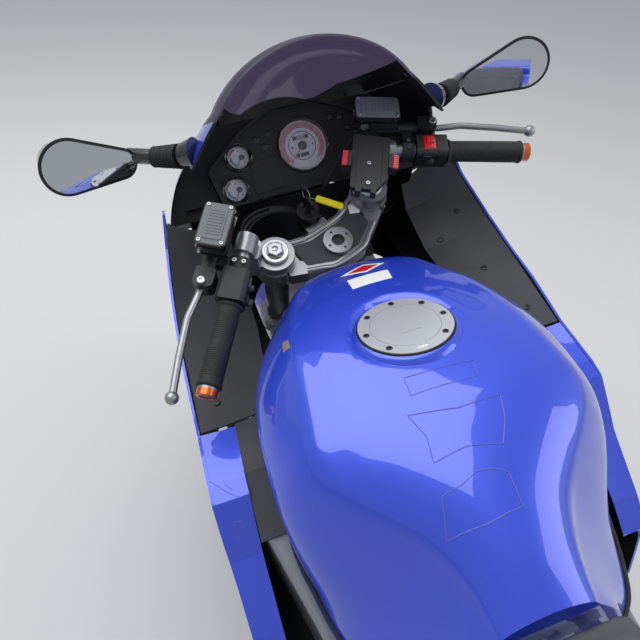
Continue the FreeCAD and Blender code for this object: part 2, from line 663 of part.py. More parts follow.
def make_dash():
    """Instrument housing with three round dials, a counter window and a raised rim."""
    inner = [(x * 0.955, y * 0.94, r) for x, y, r in DASH_OUTLINE]
    body = slab(DASH_OUTLINE, "z", -46, 8).cut(slab(inner, "z", 0, 20))
    for x, y, r in DIALS:
        bezel = tube(V(x, y, -1), V(x, y, 4), r + 3, r)
        body = body.fuse(bezel).cut(rod(V(x, y, -6), V(x, y, 6), r))
    body = body.cut(slab([(-92, -36, 3), (-54, -36, 3), (-54, -14, 3), (-92, -14, 3)], "z", -3, 5))
    stay = rod(V(0, -30, -46), V(0, -30, -160), 12)
    return from_dash(fused(body, stay))


def make_cowl_lining():
    """Black lining that closes the space between the dash and the nose, and the wall ahead of the fork."""
    t = PANEL_T + 3 * SEAT_GAP
    solid = loft([nose_wire((y, x0 - t, z0, x1 - t, z1, x2 - t, z2 - t, top - t), 0)
                  for y, x0, z0, x1, z1, x2, z2, top in NOSE_SECTIONS])
    plate = block((-280, 280), (-120, 260), (-26, -22))
    opening = slab([(x * 1.004, y * 1.006, r) for x, y, r in DASH_OUTLINE], "z", -60, 60)
    clamp_room = block((-140, 140), (-200, -60), (-60, 60))
    around = from_dash(plate.cut(opening).cut(clamp_room)).common(solid).cut(screen_zone())
    shelf = fused(block((172, 225), (1286, 1323), (898, 902)), block((172, 225), (1318, 1323), (864, 902)))
    wall = slab([(1318, 870, 0), (1404, 684, 0), (1408, 684, 0), (1323, 870, 0)], "x", -225, 225)
    return fused(around, shelf, mirrored(shelf), wall)


# Side panels: outer half widths at these heights, for each station along the machine
PANEL_Z = (140.0, 300.0, 480.0, 640.0, 760.0, 860.0, 970.0)
PANEL_X = [(560, (132, 226, 274, 296, 302, 300, 296)), (800, (128, 236, 286, 302, 305, 304, 300)),
           (1000, (124, 232, 284, 300, 300, 296, 286)), (1180, (112, 214, 268, 290, 293, 284, 262)),
           (1330, (90, 190, 240, 266, 272, 266, 250)), (1460, (60, 150, 200, 228, 236, 226, 200))]
PANEL_OUTLINE = [(1330, 868, 10), (1404, 792, 20), (1440, 700, 30), (1372, 560, 50), (1320, 430, 60),
                 (1225, 300, 60), (1110, 178, 50), (1000, 141, 60), (780, 141, 60), (672, 206, 50),
                 (632, 330, 40), (626, 470, 30), (645, 545, 20), (685, 594, 20), (763, 660, 30),
                 (816, 728, 12), (841, 738, 8), (919, 755, 20), (1004, 787, 80), (1075, 807, 60),
                 (1143, 835, 60), (1223, 882, 40), (1262, 940, 10), (1300, 872, 4)]


def side_skin(wall, inset=0.0):
    """Right-hand skin of the side panel, before its outline is cut."""
    wires = []
    for y, widths in PANEL_X:
        outer = [V(x - inset, y, z) for x, z in zip(widths, PANEL_Z)]
        inner = [V(p.x - wall, p.y, p.z) for p in outer]
        wires.append(Part.Wire(arcs(outer) + [line(outer[-1], inner[-1])] + arcs(list(reversed(inner)))
                               + [line(inner[0], outer[0])]))
    return loft(wires)


def strip(rows, thickness):
    """Curved strip lofted across rows of (y, outer x, outer z, inner x, inner z, sag)."""
    wires = []
    for y, xo, zo, xi, zi, sag in rows:
        top = [V(xo, y, zo), V((xo + xi) / 2, y, (zo + zi) / 2 - sag), V(xi, y, zi)]
        low = [V(p.x, p.y, p.z - thickness) for p in reversed(top)]
        wires.append(Part.Wire(arcs(top) + [line(top[-1], low[0])] + arcs(low) + [line(low[-1], top[0])]))
    return loft(wires, True)


# The blue return of the side panel behind the fold, and the grey inner panel ahead of it
RETURN_ROWS = [(918, 300.5, 754, 246, 751, 1), (841, 303.5, 737, 251, 737, 1), (816, 303.5, 728, 252, 728, 1),
               (763, 302.5, 661, 257, 662, 1), (685, 301, 595, 259, 596, 1), (650, 300, 558, 260, 558, 1)]
INNER_ROWS = [(922, 296, 754, 188, 764, 3), (1004, 292, 783, 176, 780, 6), (1075, 291.7, 803, 168, 786, 8),
              (1143, 285, 831, 166, 794, 10), (1223, 272, 879, 164, 834, 10), (1252, 262, 912, 168, 872, 8)]
# The cover that carries on rearwards over the frame's spar, between the fold and the tank
COVER_ROWS = [(921, 245.6, 753, 190, 764, 2), (845, 250.5, 736.5, 204, 739, 2), (762, 254, 692, 206, 697, 2)]


def make_inner_panels():
    """Dark inner panel of each side panel and the cover behind it."""
    return Part.makeCompound([both(strip(INNER_ROWS, 3)), both(strip(COVER_ROWS, 3))])


def make_side_panel():
    """Right side panel: the outer skin, its return over the frame and the air outlet."""
    skin = side_skin(PANEL_T).common(slab(PANEL_OUTLINE, "x", 0, 400))
    outlet = slab([(1010, 430, 14), (1150, 440, 20), (1180, 560, 20), (1060, 530, 30)], "x", 150, 400)
    belly = block((40, 140), (790, 1090), (141, 145))
    fold = strip(RETURN_ROWS, PANEL_T)
    return fused(skin.cut(outlet), fold, belly.common(side_fill()))


def side_fill():
    """Space inside the middle of the side panel's wall."""
    wires = []
    for y, widths in PANEL_X:
        outer = [V(x - PANEL_T / 2, y, z) for x, z in zip(widths, PANEL_Z)]
        wires.append(Part.Wire(arcs(outer) + [line(outer[-1], V(0, y, outer[-1].z)),
                                             line(V(0, y, outer[-1].z), V(0, y, outer[0].z)),
                                             line(V(0, y, outer[0].z), outer[0])]))
    return loft(wires)


def make_mirrors():
    """Mirror housings on their arms; the glass sits in a recess that faces the rider."""
    arm = pipe([(216, 1200, 1046), (250, 1232, 1040), (286, 1262, 1038)], 12, 30)
    foot = taper(V(190, 1186, 1052), V(222, 1206, 1045), 23, 13)
    shell = mirror_body(0.0, 0, 44, 4)
    recess = mirror_body(4.0, -3, 4, 0)
    nose = loft([nose_wire(row, 0) for row in NOSE_SECTIONS])
    return both(fused(arm, foot, shell).cut(recess).cut(nose))


def mirror_body(inset, low, high, draft):
    """Teardrop plate in the mirror's frame: x outward, z up, y away from the rider."""
    i = inset
    big, small = 42 - i, 24 - i
    wires = []
    for level, shrink in ((low, 0), (high, draft * 3)):
        a, b = big - shrink, small - shrink * 0.7
        c1, c2 = V(108, level, 4), V(28, level, -6)
        along = (c1 - c2)
        length = along.Length
        tilt = math.asin((a - b) / length)
        direction = V(along).normalize()
        across = V(-direction.z, 0, direction.x)

        def on(centre, r, angle):
            return centre + (direction * math.cos(angle) + across * math.sin(angle)) * r
        up = math.pi / 2 - tilt
        # measured from the small end to the large one
        t1, t2 = on(c1, a, up + 2 * tilt), on(c2, b, up + 2 * tilt)
        l1, l2 = on(c1, a, -up - 2 * tilt), on(c2, b, -up - 2 * tilt)
        wires.append(Part.Wire([line(t2, t1), Part.Arc(t1, on(c1, a, 0), l1).toShape(), line(l1, l2),
                                Part.Arc(l2, on(c2, b, math.pi), t2).toShape()]))
    shape = loft(wires, True)
    turn = FreeCAD.Rotation(Z_AXIS, -22).multiply(FreeCAD.Rotation(Y_AXIS, -11))
    turn = turn.multiply(FreeCAD.Rotation(X_AXIS, -6))
    shape.Placement = FreeCAD.Placement(V(272, 1250, 1038), turn)
    return shape


def make_mirror_glass():
    return both(mirror_body(4.5, -1.5, 0.8, 0))


def make_swingarm():
    """Box-section swingarm with a cross brace, axle ends and lifting bosses for a paddock stand."""
    y, z = SWINGARM_PIVOT
    inner, outer = SWINGARM_INNER_X, SWINGARM_INNER_X + SWINGARM_W
    arm = slab([(-52, 288, 12), (-52, 342, 12), (60, 350, 60), (430, 436, 80), (y + 26, z + 30, 28),
                (y + 26, z - 30, 28), (430, 330, 90), (60, 284, 60)], "x", inner, outer)
    arm = arm.cut(block((outer - 3, outer + 1), (110, 400), (315, 352)))
    brace = slab([(392, 346, 14), (392, 424, 20), (470, 446, 20), (470, 350, 14)], "x", -inner - 5, inner + 5)
    shaft = rod(V(-190, y, z), V(190, y, z), PIVOT_R)
    sleeve = rod(V(-156, y, z), V(156, y, z), 22)
    boss = rod(V(outer - 2, 62, 312), V(outer + 10, 62, 312), 11)
    _, low, way = shock_line()
    shock_seat = rod(low, low + way * 60, 24)
    whole = fused(arm, mirrored(arm), brace, shaft, sleeve, boss, mirrored(boss), shock_seat)
    for side in (-1, 1):
        whole = whole.cut(rod(V(side * (outer - 12), 62, 312), V(side * (outer + 12), 62, 312), 4))
    slot = block((-200, 200), (-AXLE_R - 8, 8 + AXLE_R), (REAR_R - AXLE_R, REAR_R + AXLE_R))
    return whole.cut(slot).cut(chain_relief())


def chain_relief():
    """Room that the chain runs in, a little wider and higher than the chain."""
    room = Part.Face(chain_wire(CHAIN_HEIGHT / 2 + 6)).extrude(X_AXIS * (CHAIN_WIDTH + 10))
    room.translate(V(-CHAIN_WIDTH / 2 - 5, 0, 0))
    return room


def make_rear_axle():
    """Rear axle with its nuts, the adjuster blocks in the slots and the wheel spacers."""
    outer = SWINGARM_INNER_X + SWINGARM_W
    shaft = rod(V(-outer - 16, 0, REAR_R), V(outer + 16, 0, REAR_R), AXLE_R)
    pieces = [shaft]
    for side in (-1, 1):
        low, high = sorted((side * (SWINGARM_INNER_X + 2), side * (outer + 4)))
        pieces.append(block((low, high), (-AXLE_R - 7.5, AXLE_R + 7.5), (REAR_R - AXLE_R, REAR_R + AXLE_R)))
        nut_low, nut_high = sorted((side * (outer + 4), side * (outer + 14)))
        pieces.append(rod(V(nut_low, 0, REAR_R), V(nut_high, 0, REAR_R), 19))
    pieces.append(rod(V(-SWINGARM_INNER_X, 0, REAR_R), V(-115, 0, REAR_R), 18))
    pieces.append(rod(V(94, 0, REAR_R), V(111, 0, REAR_R), 18))
    return fused(*pieces)


def shock_line():
    """Upper and lower seats of the shock and the direction from one to the other."""
    top, low = V(0, *SHOCK_TOP), V(0, *SHOCK_LOW)
    return top, low, (low - top).normalize()


def make_rear_sprocket():
    """Rear sprocket on its cush-drive carrier."""
    disc = sprocket_teeth(REAR_SPROCKET, REAR_PITCH_R, REAR_TEETH, 6)
    window = rod(REAR_SPROCKET + V(-9, 0, 80), REAR_SPROCKET + V(9, 0, 80), 13)
    disc = disc.cut(Part.makeCompound(ring_of(window, REAR_SPROCKET, X_AXIS, 6)))
    carrier = taper(V(-70.2, 0, REAR_R), V(CHAIN_X + 2, 0, REAR_R), 74, 56)
    bore = rod(V(CHAIN_X - 9, 0, REAR_R), V(-60, 0, REAR_R), 26)
    return fused(disc, carrier).cut(bore)


def make_shock():
    """Spring and damper between the frame and the swingarm's brace."""
    top, low, way = shock_line()
    a, b = top + way * (17 + SEAT_GAP), low - way * SEAT_GAP
    damper = rod(a, b - way * 8, 16)
    length = (b - a).Length
    cup, count = 14, 6
    step = (length - 2 * cup) / count
    # radius and distance along the damper: cup, rounded turns of the spring, cup
    corners = [(0, 0, 0), (30, 0, 2), (30, cup, 1)]
    for i in range(count):
        level = cup + i * step
        corners += [(24, level + 0.15 * step, 0), (35, level + 0.35 * step, 3), (35, level + 0.65 * step, 3),
                    (24, level + 0.85 * step, 0)]
    corners += [(30, length - cup, 1), (30, length, 2), (0, length, 0)]
    wire = rounded(corners, "y")
    spring = Part.Face(wire).revolve(V(0, 0, 0), Z_AXIS, 360)
    spring.Placement = FreeCAD.Placement(a, FreeCAD.Rotation(Z_AXIS, way))
    return fused(damper, spring)


def make_exhaust():
    """Four header pipes to a collector under the engine, the link pipe and one silencer on the right."""
    headers = []
    slope = V(0, PORT_Y - 1010, -20).normalize()
    for x in PORT_X:
        port = V(x, PORT_Y, PORT_Z) + slope * SEAT_GAP
        bend = port + slope * 26
        column = PORT_X.index(x) * 43 - 46.5
        headers.append(pipe([tuple(port), tuple(bend), (x, 1082, 330), (x * 0.8, 1030, 200),
                             (column, 890, 200), (column, 845, 200)], 19, 60))
    mouth = rounded([(-70, 176, 20), (106, 176, 20), (106, 224, 20), (-70, 224, 20)], "y", 870)
    throat = rounded([(8, 170, 26), (72, 170, 26), (72, 230, 26), (8, 230, 26)], "y", 700)
    collector = loft([mouth, throat], True)
    link = pipe([(40, 705, 200), (60, 560, 205), (150, 470, 250), (226, 392, 300)], 27, 80)
    # radius and distance back from the inlet: cone, can, end cone, tail pipe with its open bore
    can = rounded([(0, 0, 0), (30, 0, 0), (58, 45, 12), (58, 488, 10), (42, 520, 4), (26, 520, 3),
                   (26, 552, 2), (21, 552, 2), (21, 480, 0), (0, 480, 0)], "y")
    silencer = Part.Face(can).revolve(V(0, 0, 0), Z_AXIS, 360)
    silencer.Placement = FreeCAD.Placement(V(225, 400, 296), FreeCAD.Rotation(Z_AXIS, V(10, -430, 106)))
    strap = block((150, 232), (118, 150), (390, 410))
    strap = strap.fuse(block((146, 156), (118, 150), (398, 640)))
    return fused(*headers, collector, link, silencer, strap)


def make_foot_rests():
    """Foot-rest plates with rider's pegs, gear and brake pedals."""
    plate = slab([(436, 372, 14), (520, 372, 14), (590, 466, 16), (590, 520, 12), (560, 520, 12),
                 (430, 440, 20)], "x", 190, 198)
    bosses = [rod(V(182.1, y, z), V(191, y, z), 9) for y, z in ((568, 500), (566, 458))]
    peg = rod(V(197, 474, 402), V(288, 474, 402), 12)
    pedal = pipe([(203, 474, 402), (216, 500, 398), (228, 592, 392)], 6, 20)
    tip = rod(V(222, 590, 392), V(262, 590, 392), 8)
    return both(fused(plate, peg, pedal, tip, *bosses))


def make_rear_caliper():
    """Rear caliper over the disc, on its hanger round the axle."""
    reach = V(0, 62, 66)
    centre = REAR_AXLE + V(REAR_DISC_X, 0, 0) + reach
    body = block((-22, 22), (-34, 34), (-24, 24))
    body.rotate(V(0, 0, 0), X_AXIS, -45)
    body.translate(centre)
    disc = tube(REAR_AXLE + V(REAR_DISC_X - 5, 0, 0), REAR_AXLE + V(REAR_DISC_X + 5, 0, 0), REAR_DISC_R + 4,
                60)
    hanger = slab([(-24, 294, 20), (-24, 336, 20), (46, 408, 14), (86, 372, 14), (24, 294, 20)], "x", 112,
                  120)
    link = block((108, 114), (34, 66), (350, 392))
    return fused(body.cut(disc), hanger, link).cut(rod(V(100, 0, REAR_R), V(130, 0, REAR_R), AXLE_R +
                 RUN_FIT))


# Front end, drawn in the fork's frame

def make_top_clamp():
    """Cast top clamp with recessed webs, split fork rings and the hollow steering nut."""
    web = slab([(-FORK_X - 6, 4, 14), (-52, -26, 20), (-26, -38, 20), (26, -38, 20), (52, -26, 20),
                (FORK_X + 6, 4, 14), (FORK_X + 2, 70, 14), (34, 44, 20), (-34, 44, 20),
                (-FORK_X - 2, 70, 14)], "z", -CLAMP_T, 0)
    recess = slab([(-72, 12, 6), (-40, -14, 8), (-32, 14, 8), (-44, 32, 6), (-72, 40, 6)], "z", -8, 1)
    ring = rod(V(FORK_X, AXLE_F, -CLAMP_T), V(FORK_X, AXLE_F, 4), 33)
    fork = rod(V(FORK_X, AXLE_F, -60), V(FORK_X, AXLE_F, 40), STANCHION_R + RUN_FIT)
    slit = block((FORK_X - 1.5, FORK_X + 1.5), (AXLE_F - 45, AXLE_F - 15), (-CLAMP_T - 1, 5))
    nut = rod(V(0, 0, 0), V(0, 0, 9), STEM_NUT_R).cut(rod(V(0, 0, -1), V(0, 0, 10), STEM_BORE_R))
    pin_hole = rod(V(18, 0, 4), V(18, 0, 10), 2.2)
    nut = nut.cut(Part.makeCompound(ring_of(pin_hole, V(0, 0, 0), Z_AXIS, 4)))
    whole = fused(web, ring, mirrored(ring))
    for cutter in (recess, mirrored(recess), fork, mirrored(fork), slit, mirrored(slit)):
        whole = whole.cut(cutter)
    stem = rod(V(0, 0, -60), V(0, 0, 1), STEM_R + RUN_FIT)
    mount = block((-20, 20), (40, 59.7), (-26, -12))
    return fused(whole.cut(stem), nut, mount)


def make_lower_clamp():
    """Lower clamp with the hollow steering stem pressed into it."""
    low, high = LOWER_CLAMP_U - 16, LOWER_CLAMP_U + 20
    web = slab([(-FORK_X - 10, 2, 14), (-40, -36, 20), (40, -36, 20), (FORK_X + 10, 2, 14),
                (FORK_X + 10, 70, 14), (-FORK_X - 10, 70, 14)], "z", low, high)
    ring = rod(V(FORK_X, AXLE_F, low), V(FORK_X, AXLE_F, high), 34)
    fork = rod(V(FORK_X, AXLE_F, low - 9), V(FORK_X, AXLE_F, high + 9), STANCHION_R + RUN_FIT)
    stem = rod(V(0, 0, low), V(0, 0, 0), STEM_R)
    bore = rod(V(0, 0, low - 9), V(0, 0, 9), STEM_BORE_R)
    stop = block((-STOP_HALF, STOP_HALF), (-STOP_BACK, -40), (low, LOWER_CLAMP_U + 52))
    stop = stop.fuse(block((-STOP_HALF, STOP_HALF), (-42, -20), (low, high)))
    return fused(web, ring, mirrored(ring), stem, stop).cut(fork).cut(mirrored(fork)).cut(bore)


def make_fork_legs():
    """Two telescopic legs: polished stanchions in cast sliders with axle and caliper lugs."""
    stanchion = rod(V(FORK_X, AXLE_F, SLIDER_TOP_U), V(FORK_X, AXLE_F, FORK_TOP_U), STANCHION_R)
    cap = rod(V(FORK_X, AXLE_F, FORK_TOP_U - 1), V(FORK_X, AXLE_F, FORK_TOP_U + 6), 14)
    slider = rod(V(FORK_X, AXLE_F, AXLE_U - 22), V(FORK_X, AXLE_F, SLIDER_TOP_U), SLIDER_R)
    lip = rod(V(FORK_X, AXLE_F, SLIDER_TOP_U - 14), V(FORK_X, AXLE_F, SLIDER_TOP_U + 6), SLIDER_R + 0.7)
    lug = rod(V(FORK_X - LUG_HALF, AXLE_F, AXLE_U), V(FORK_X + LUG_HALF, AXLE_F, AXLE_U), 30)
    bracket = slab([(AXLE_F - 70, AXLE_U + 112, 8), (AXLE_F, AXLE_U + 130, 8), (AXLE_F, AXLE_U + 30, 8),
                    (AXLE_F - 52, AXLE_U + 36, 8)], "x", 86, 96)
    leg = fused(stanchion, cap, slider, lip, lug, bracket)
    leg = leg.cut(rod(V(0, AXLE_F, AXLE_U), V(200, AXLE_F, AXLE_U), AXLE_R + RUN_FIT))
    return both(leg)


def bar_point(x, u=BAR_U):
    """Point on the right bar's centre line at x."""
    (x0, f0), (x1, f1) = GRIP_START, GRIP_END
    return V(x, f0 + (f1 - f0) * (x - x0) / (x1 - x0), u)


BAR_WAY = (bar_point(GRIP_END[0]) - bar_point(GRIP_START[0])).normalize()


def make_handlebars():
    """Clip-on bars: a clamp on each fork tube, a cast riser and the bar with its end weight."""
    inner = bar_point(BAR_INNER[0])
    end = bar_point(GRIP_END[0])
    ring = rod(V(FORK_X, AXLE_F, 4.2), V(FORK_X, AXLE_F, 24), 31)
    riser = loft([rounded([(-12, -17, 6), (12, -17, 6), (12, 17, 6), (-12, 17, 6)], "z", level)
                  for level in (0, 52)], True)
    matrix = FreeCAD.Rotation(Z_AXIS, -math.degrees(math.atan2(-BAR_WAY.y, BAR_WAY.x)) + 90)
    riser.Placement = FreeCAD.Placement(V(FORK_X + 34, AXLE_F + 12, 6), matrix)
    arm = block((0, 44), (-15, 15), (4.2, 24))
    arm.rotate(V(0, 0, 0), Z_AXIS, 19)
    arm.translate(V(FORK_X, AXLE_F, 0))
    socket = rod(inner - BAR_WAY * 12, inner + BAR_WAY * 20, 17)
    bar = rod(inner, end + BAR_WAY * 2, BAR_R)
    weight = rod(end + BAR_WAY * 0.5, end + BAR_WAY * 13, 14.5)
    fork = rod(V(FORK_X, AXLE_F, 0), V(FORK_X, AXLE_F, 60), STANCHION_R + RUN_FIT)
    return both(fused(ring, arm, riser, socket, bar, weight).cut(fork))


def make_grips():
    start, end = bar_point(GRIP_START[0]), bar_point(GRIP_END[0])
    grip = tube(start, end, GRIP_R, BAR_R + RUN_FIT)
    collar = tube(start, start + BAR_WAY * 6, GRIP_R + 3, BAR_R + RUN_FIT)
    return both(fused(grip, collar))


def along_bar(shape, x):
    """Move a shape drawn with the bar along its x axis to the bar's point at x."""
    shape = shape.copy()
    turn = FreeCAD.Rotation(Z_AXIS, math.degrees(math.atan2(BAR_WAY.y, BAR_WAY.x)))
    shape.Placement = FreeCAD.Placement(bar_point(x), turn).multiply(shape.Placement)
    return shape


# Middle of each fluid reservoir in its bar's frame: the clutch's on the left, the brake's on the right
RESERVOIR_LEFT = (-98, 39)
RESERVOIR_RIGHT = (-121, 39)
RESERVOIR_HALF = (34, 20.5)


def make_controls():
    """Switch pods, master cylinders and their reservoirs on both bars."""
    right = along_bar(bar_controls(*RESERVOIR_RIGHT), GRIP_START[0])
    left = mirrored(along_bar(bar_controls(*RESERVOIR_LEFT), GRIP_START[0]))
    return Part.makeCompound([right, left])


def bar_controls(x, y):
    """One bar's pod and master cylinder; the middle of its reservoir lies at x, y."""
    pod = slab([(-20, -21, 9), (20, -21, 9), (22, 22, 9), (-22, 22, 9)], "x", -54, -3)
    pod = pod.cut(rod(V(-60, 0, 0), V(10, 0, 0), BAR_R + RUN_FIT))
    buttons = [block((-44, -30), (-24, -15), (4, 14)), block((-22, -10), (-24, -15), (-8, 2))]
    clamp = rod(V(-76, 0, 0), V(-57, 0, 0), 18).cut(rod(V(-80, 0, 0), V(-50, 0, 0), BAR_R + RUN_FIT))
    cylinder = rod(V(-112, 44, 4), V(-36, 44, 4), 12)
    web = block((-75, -58), (12.5, 44), (-7, 11))
    yoke = slab([(-48, 29, 4), (-18, 29, 8), (-14, 59, 10), (-48, 59, 4)], "z", -12, 19).cut(
        block((-34, 0), (20, 70), (-4.3, 8.3)))
    half_x, half_y = RESERVOIR_HALF
    pot = slab([(x - half_x, y - half_y, 7), (x + half_x, y - half_y, 7), (x + half_x, y + half_y, 7),
                (x - half_x, y + half_y, 7)], "z", 22, 52)
    rim_x, rim_y = half_x + 2, half_y + 2
    lid = slab([(x - rim_x, y - rim_y, 8), (x + rim_x, y - rim_y, 8), (x + rim_x, y + rim_y, 8),
                (x - rim_x, y + rim_y, 8)], "z", 52, 57)
    neck = rod(V(-98, 44, 6), V(-98, 44, 24), 7)
    sight = rod(V(x - 20, y - half_y - 1.5, 37), V(x - 20, y, 37), 7)
    master = fused(clamp, web, cylinder, yoke, neck, pot, lid, sight)
    return Part.makeCompound([fused(pod, *buttons), master])


def make_levers():
    """Clutch and brake levers with ball ends."""
    pivot = (-24, 46, 2)
    blade = pipe([pivot, (30, 54, 2), (90, 50, 2), (146, 44, 2)], 5.5, 60)
    eye = rod(V(-24, 46, -4), V(-24, 46, 8), 9)
    ball = Part.makeSphere(9.5, V(148, 44, 2))
    return both(along_bar(fused(blade, eye, ball), GRIP_START[0]))


def make_ignition():
    """Ignition lock ahead of the steering nut, with its key."""
    barrel = rod(V(0, 77, -44), V(0, 77, 2), 17)
    collar = rod(V(0, 77, 1), V(0, 77, 6), 20).cut(rod(V(0, 77, 3), V(0, 77, 8), 12))
    lug = block((-20, 20), (60, 80), (-26, -12))
    blade = block((-1.3, 1.3), (72, 82), (3, 16))
    bow = slab([(66, 14, 5), (88, 14, 5), (88, 38, 8), (66, 38, 8)], "x", -2.5, 2.5)
    return fused(barrel, collar, lug, blade, bow)


# The phone holder's middle in the fork's frame and its turn about the steering axis
HOLDER_CENTRE = (87.0, 35.0, 100.0)
HOLDER_TURN = -47.0


def make_phone_holder():
    """Bare phone holder with sprung jaws, on a ball joint above the right fork cap."""
    plate = slab([(-29, 50, 6), (31, 50, 6), (31, -30, 6), (15, -55, 6), (-26, -55, 6)], "z", 0, 9)
    jaws = fused(block((-42, -28), (-22, 6), (2, 20)), block((30, 44), (-18, 8), (2, 20)),
                 block((-30, 32), (-12, 0), (1, 6)))
    lower = fused(block((-18, -9), (-66, -53), (1, 16)), block((6, 14), (-66, -53), (1, 16)))
    ball = Part.makeSphere(11, V(0, 0, -8))
    whole = fused(plate, jaws, lower, ball)
    whole.Placement = FreeCAD.Placement(V(*HOLDER_CENTRE), FreeCAD.Rotation(Z_AXIS, HOLDER_TURN))
    top = FORK_TOP_U + 6 + SEAT_GAP
    x, f, u = HOLDER_CENTRE
    post = pipe([(FORK_X, AXLE_F, top), (FORK_X, AXLE_F, top + 24), (x, f, u - 10)], 8, 14)
    return whole.fuse(post).removeSplitter()


def make_front_mudguard():
    """Mudguard over the front tyre, held between the sliders."""
    centre = V(0, AXLE_F, AXLE_U)
    gap = FRONT_R + 9
    inner = [V(-70, 0, gap - 42), V(-49, 0, gap - 11), V(0, 0, gap), V(49, 0, gap - 11), V(70, 0, gap - 42)]
    outer = [V(-73, 0, gap - 42), V(-51, 0, gap - 8.5), V(0, 0, gap + 3), V(51, 0, gap - 8.5),
             V(73, 0, gap - 42)]
    skirt = gap - 85
    feet = [V(73, 0, skirt), V(70, 0, skirt), V(-70, 0, skirt), V(-73, 0, skirt)]
    wire = Part.Wire(arcs(outer) + [line(outer[-1], feet[0]), line(feet[0], feet[1]), line(feet[1],
                     inner[-1])] + arcs(list(reversed(inner))) + [line(inner[0], feet[2]), line(feet[2],
                     feet[3]), line(feet[3], outer[0])])
    wire.translate(centre)
    shell = revolved(Part.Face(wire), centre, X_AXIS, -52, 104)
    tab = slab([(AXLE_F - 30, AXLE_U + 120, 8), (AXLE_F + 36, AXLE_U + 120, 8),
                (AXLE_F + 40, AXLE_U + 222, 8), (AXLE_F - 34, AXLE_U + 222, 8)], "x", 70.5, 84)
    tab = tab.cut(rod(V(FORK_X, AXLE_F, AXLE_U), V(FORK_X, AXLE_F, 0), SLIDER_R + 0.02))
    tab = tab.cut(block((73.5, 90), (AXLE_F - 60, AXLE_F - 24), (AXLE_U, AXLE_U + 300)))
    tab = tab.cut(block((73.5, 90), (AXLE_F + 24, AXLE_F + 60), (AXLE_U, AXLE_U + 300)))
    return fused(shell, tab, mirrored(tab))


def make_front_calipers():
    """Front calipers bolted behind the sliders, each open over its disc."""
    body = slab([(-38, 94, 12), (38, 94, 6), (38, 166, 12), (20, 180, 12), (-20, 180, 12), (-38, 166, 12)],
                "x", 86 - 48 - FRONT_DISC_X, 86 - FRONT_DISC_X)
    body.rotate(V(0, 0, 0), X_AXIS, CALIPER_ANGLE)
    body.translate(V(FRONT_DISC_X, AXLE_F, AXLE_U))
    disc = tube(V(FRONT_DISC_X - 4.5, AXLE_F, AXLE_U), V(FRONT_DISC_X + 4.5, AXLE_F, AXLE_U), FRONT_DISC_R +
                4, 40)
    return both(body.cut(disc))


def make_front_axle():
    outer = FORK_X + LUG_HALF
    shaft = rod(V(-outer - 6, AXLE_F, AXLE_U), V(outer + 6, AXLE_F, AXLE_U), AXLE_R)
    spacer = rod(V(FRONT_DISC_X + 6, AXLE_F, AXLE_U), V(FORK_X - LUG_HALF - 0.1, AXLE_F, AXLE_U), 17)
    nut = rod(V(outer + 0.1, AXLE_F, AXLE_U), V(outer + 9, AXLE_F, AXLE_U), 18)
    return fused(shaft, spacer, mirrored(spacer), nut, mirrored(nut))


def make_brake_lines():
    """Brake hose from the right master cylinder down to each front caliper."""
    lines = []
    for side in (-1, 1):
        slope = math.radians(CALIPER_ANGLE)

        def off_axle(r):
            return (side * 70, AXLE_F - r * math.sin(slope), AXLE_U + r * math.cos(slope))
        lines.append(pipe([(side * 50, 88, -238), (side * 92, 86, -262), (side * 142, 62, -310),
                           (side * 150, 10, -370), (side * 134, -46, -420), (side * 92, -84, -446),
                           off_axle(212), off_axle(180 + SEAT_GAP)], 5, 50))
    feed = pipe([(167.1, 93.4, 75), (142, 114, 72), (112, 116, 40), (60, 104, 0), (36, 94, -100),
                (30, 88, -232)], 5, 36)
    union = block((-54, 54), (76, 96), (-252, -226))
    return fused(feed, union, *lines)


# Assembly

def from_fork(shape):
    """Move a shape from the fork's frame to the upright machine, straight ahead."""
    shape = shape.copy()
    shape.Placement = FreeCAD.Placement(FORK_ORIGIN, FORK_TURN).multiply(shape.Placement)
    return shape


FORK_FRAME = FreeCAD.Placement(FORK_ORIGIN, FORK_TURN)
STEERED = FORK_FRAME.multiply(FreeCAD.Placement(V(0, 0, 0), FreeCAD.Rotation(Z_AXIS, STEER_LOCK)))


def stance(pitch, lift):
    """Lean to the left about the ground line, then pitch and lift."""
    lean = FreeCAD.Placement(V(0, 0, 0), FreeCAD.Rotation(Y_AXIS, -LEAN))
    tilt = FreeCAD.Placement(V(0, 0, lift), FreeCAD.Rotation(X_AXIS, pitch))
    return tilt.multiply(lean)


def lowest(place, centre, axle, outer, crown):
    """Lowest point of a tyre whose tread is a torus."""
    c = place.multVec(centre)
    a = place.Rotation.multVec(axle)
    return c.z - (outer - crown) * math.sqrt(1 - a.z ** 2) - crown


def settle():
    """Pitch and lift that put both leaned tyres on the ground."""
    front_c = STEERED.multVec(V(0, AXLE_F, AXLE_U))
    front_a = STEERED.Rotation.multVec(X_AXIS)
    pitch, lift = 0.0, 0.0
    for _ in range(30):
        place = stance(pitch, lift)
        front = lowest(place, front_c, front_a, FRONT_R, FRONT_CROWN)
        rear = lowest(place, REAR_AXLE, X_AXIS, REAR_R, REAR_CROWN)
        pitch -= math.degrees((front - rear) / WHEELBASE)
        lift -= rear
    return pitch, lift


PITCH, LIFT = settle()
STANCE = stance(PITCH, LIFT)


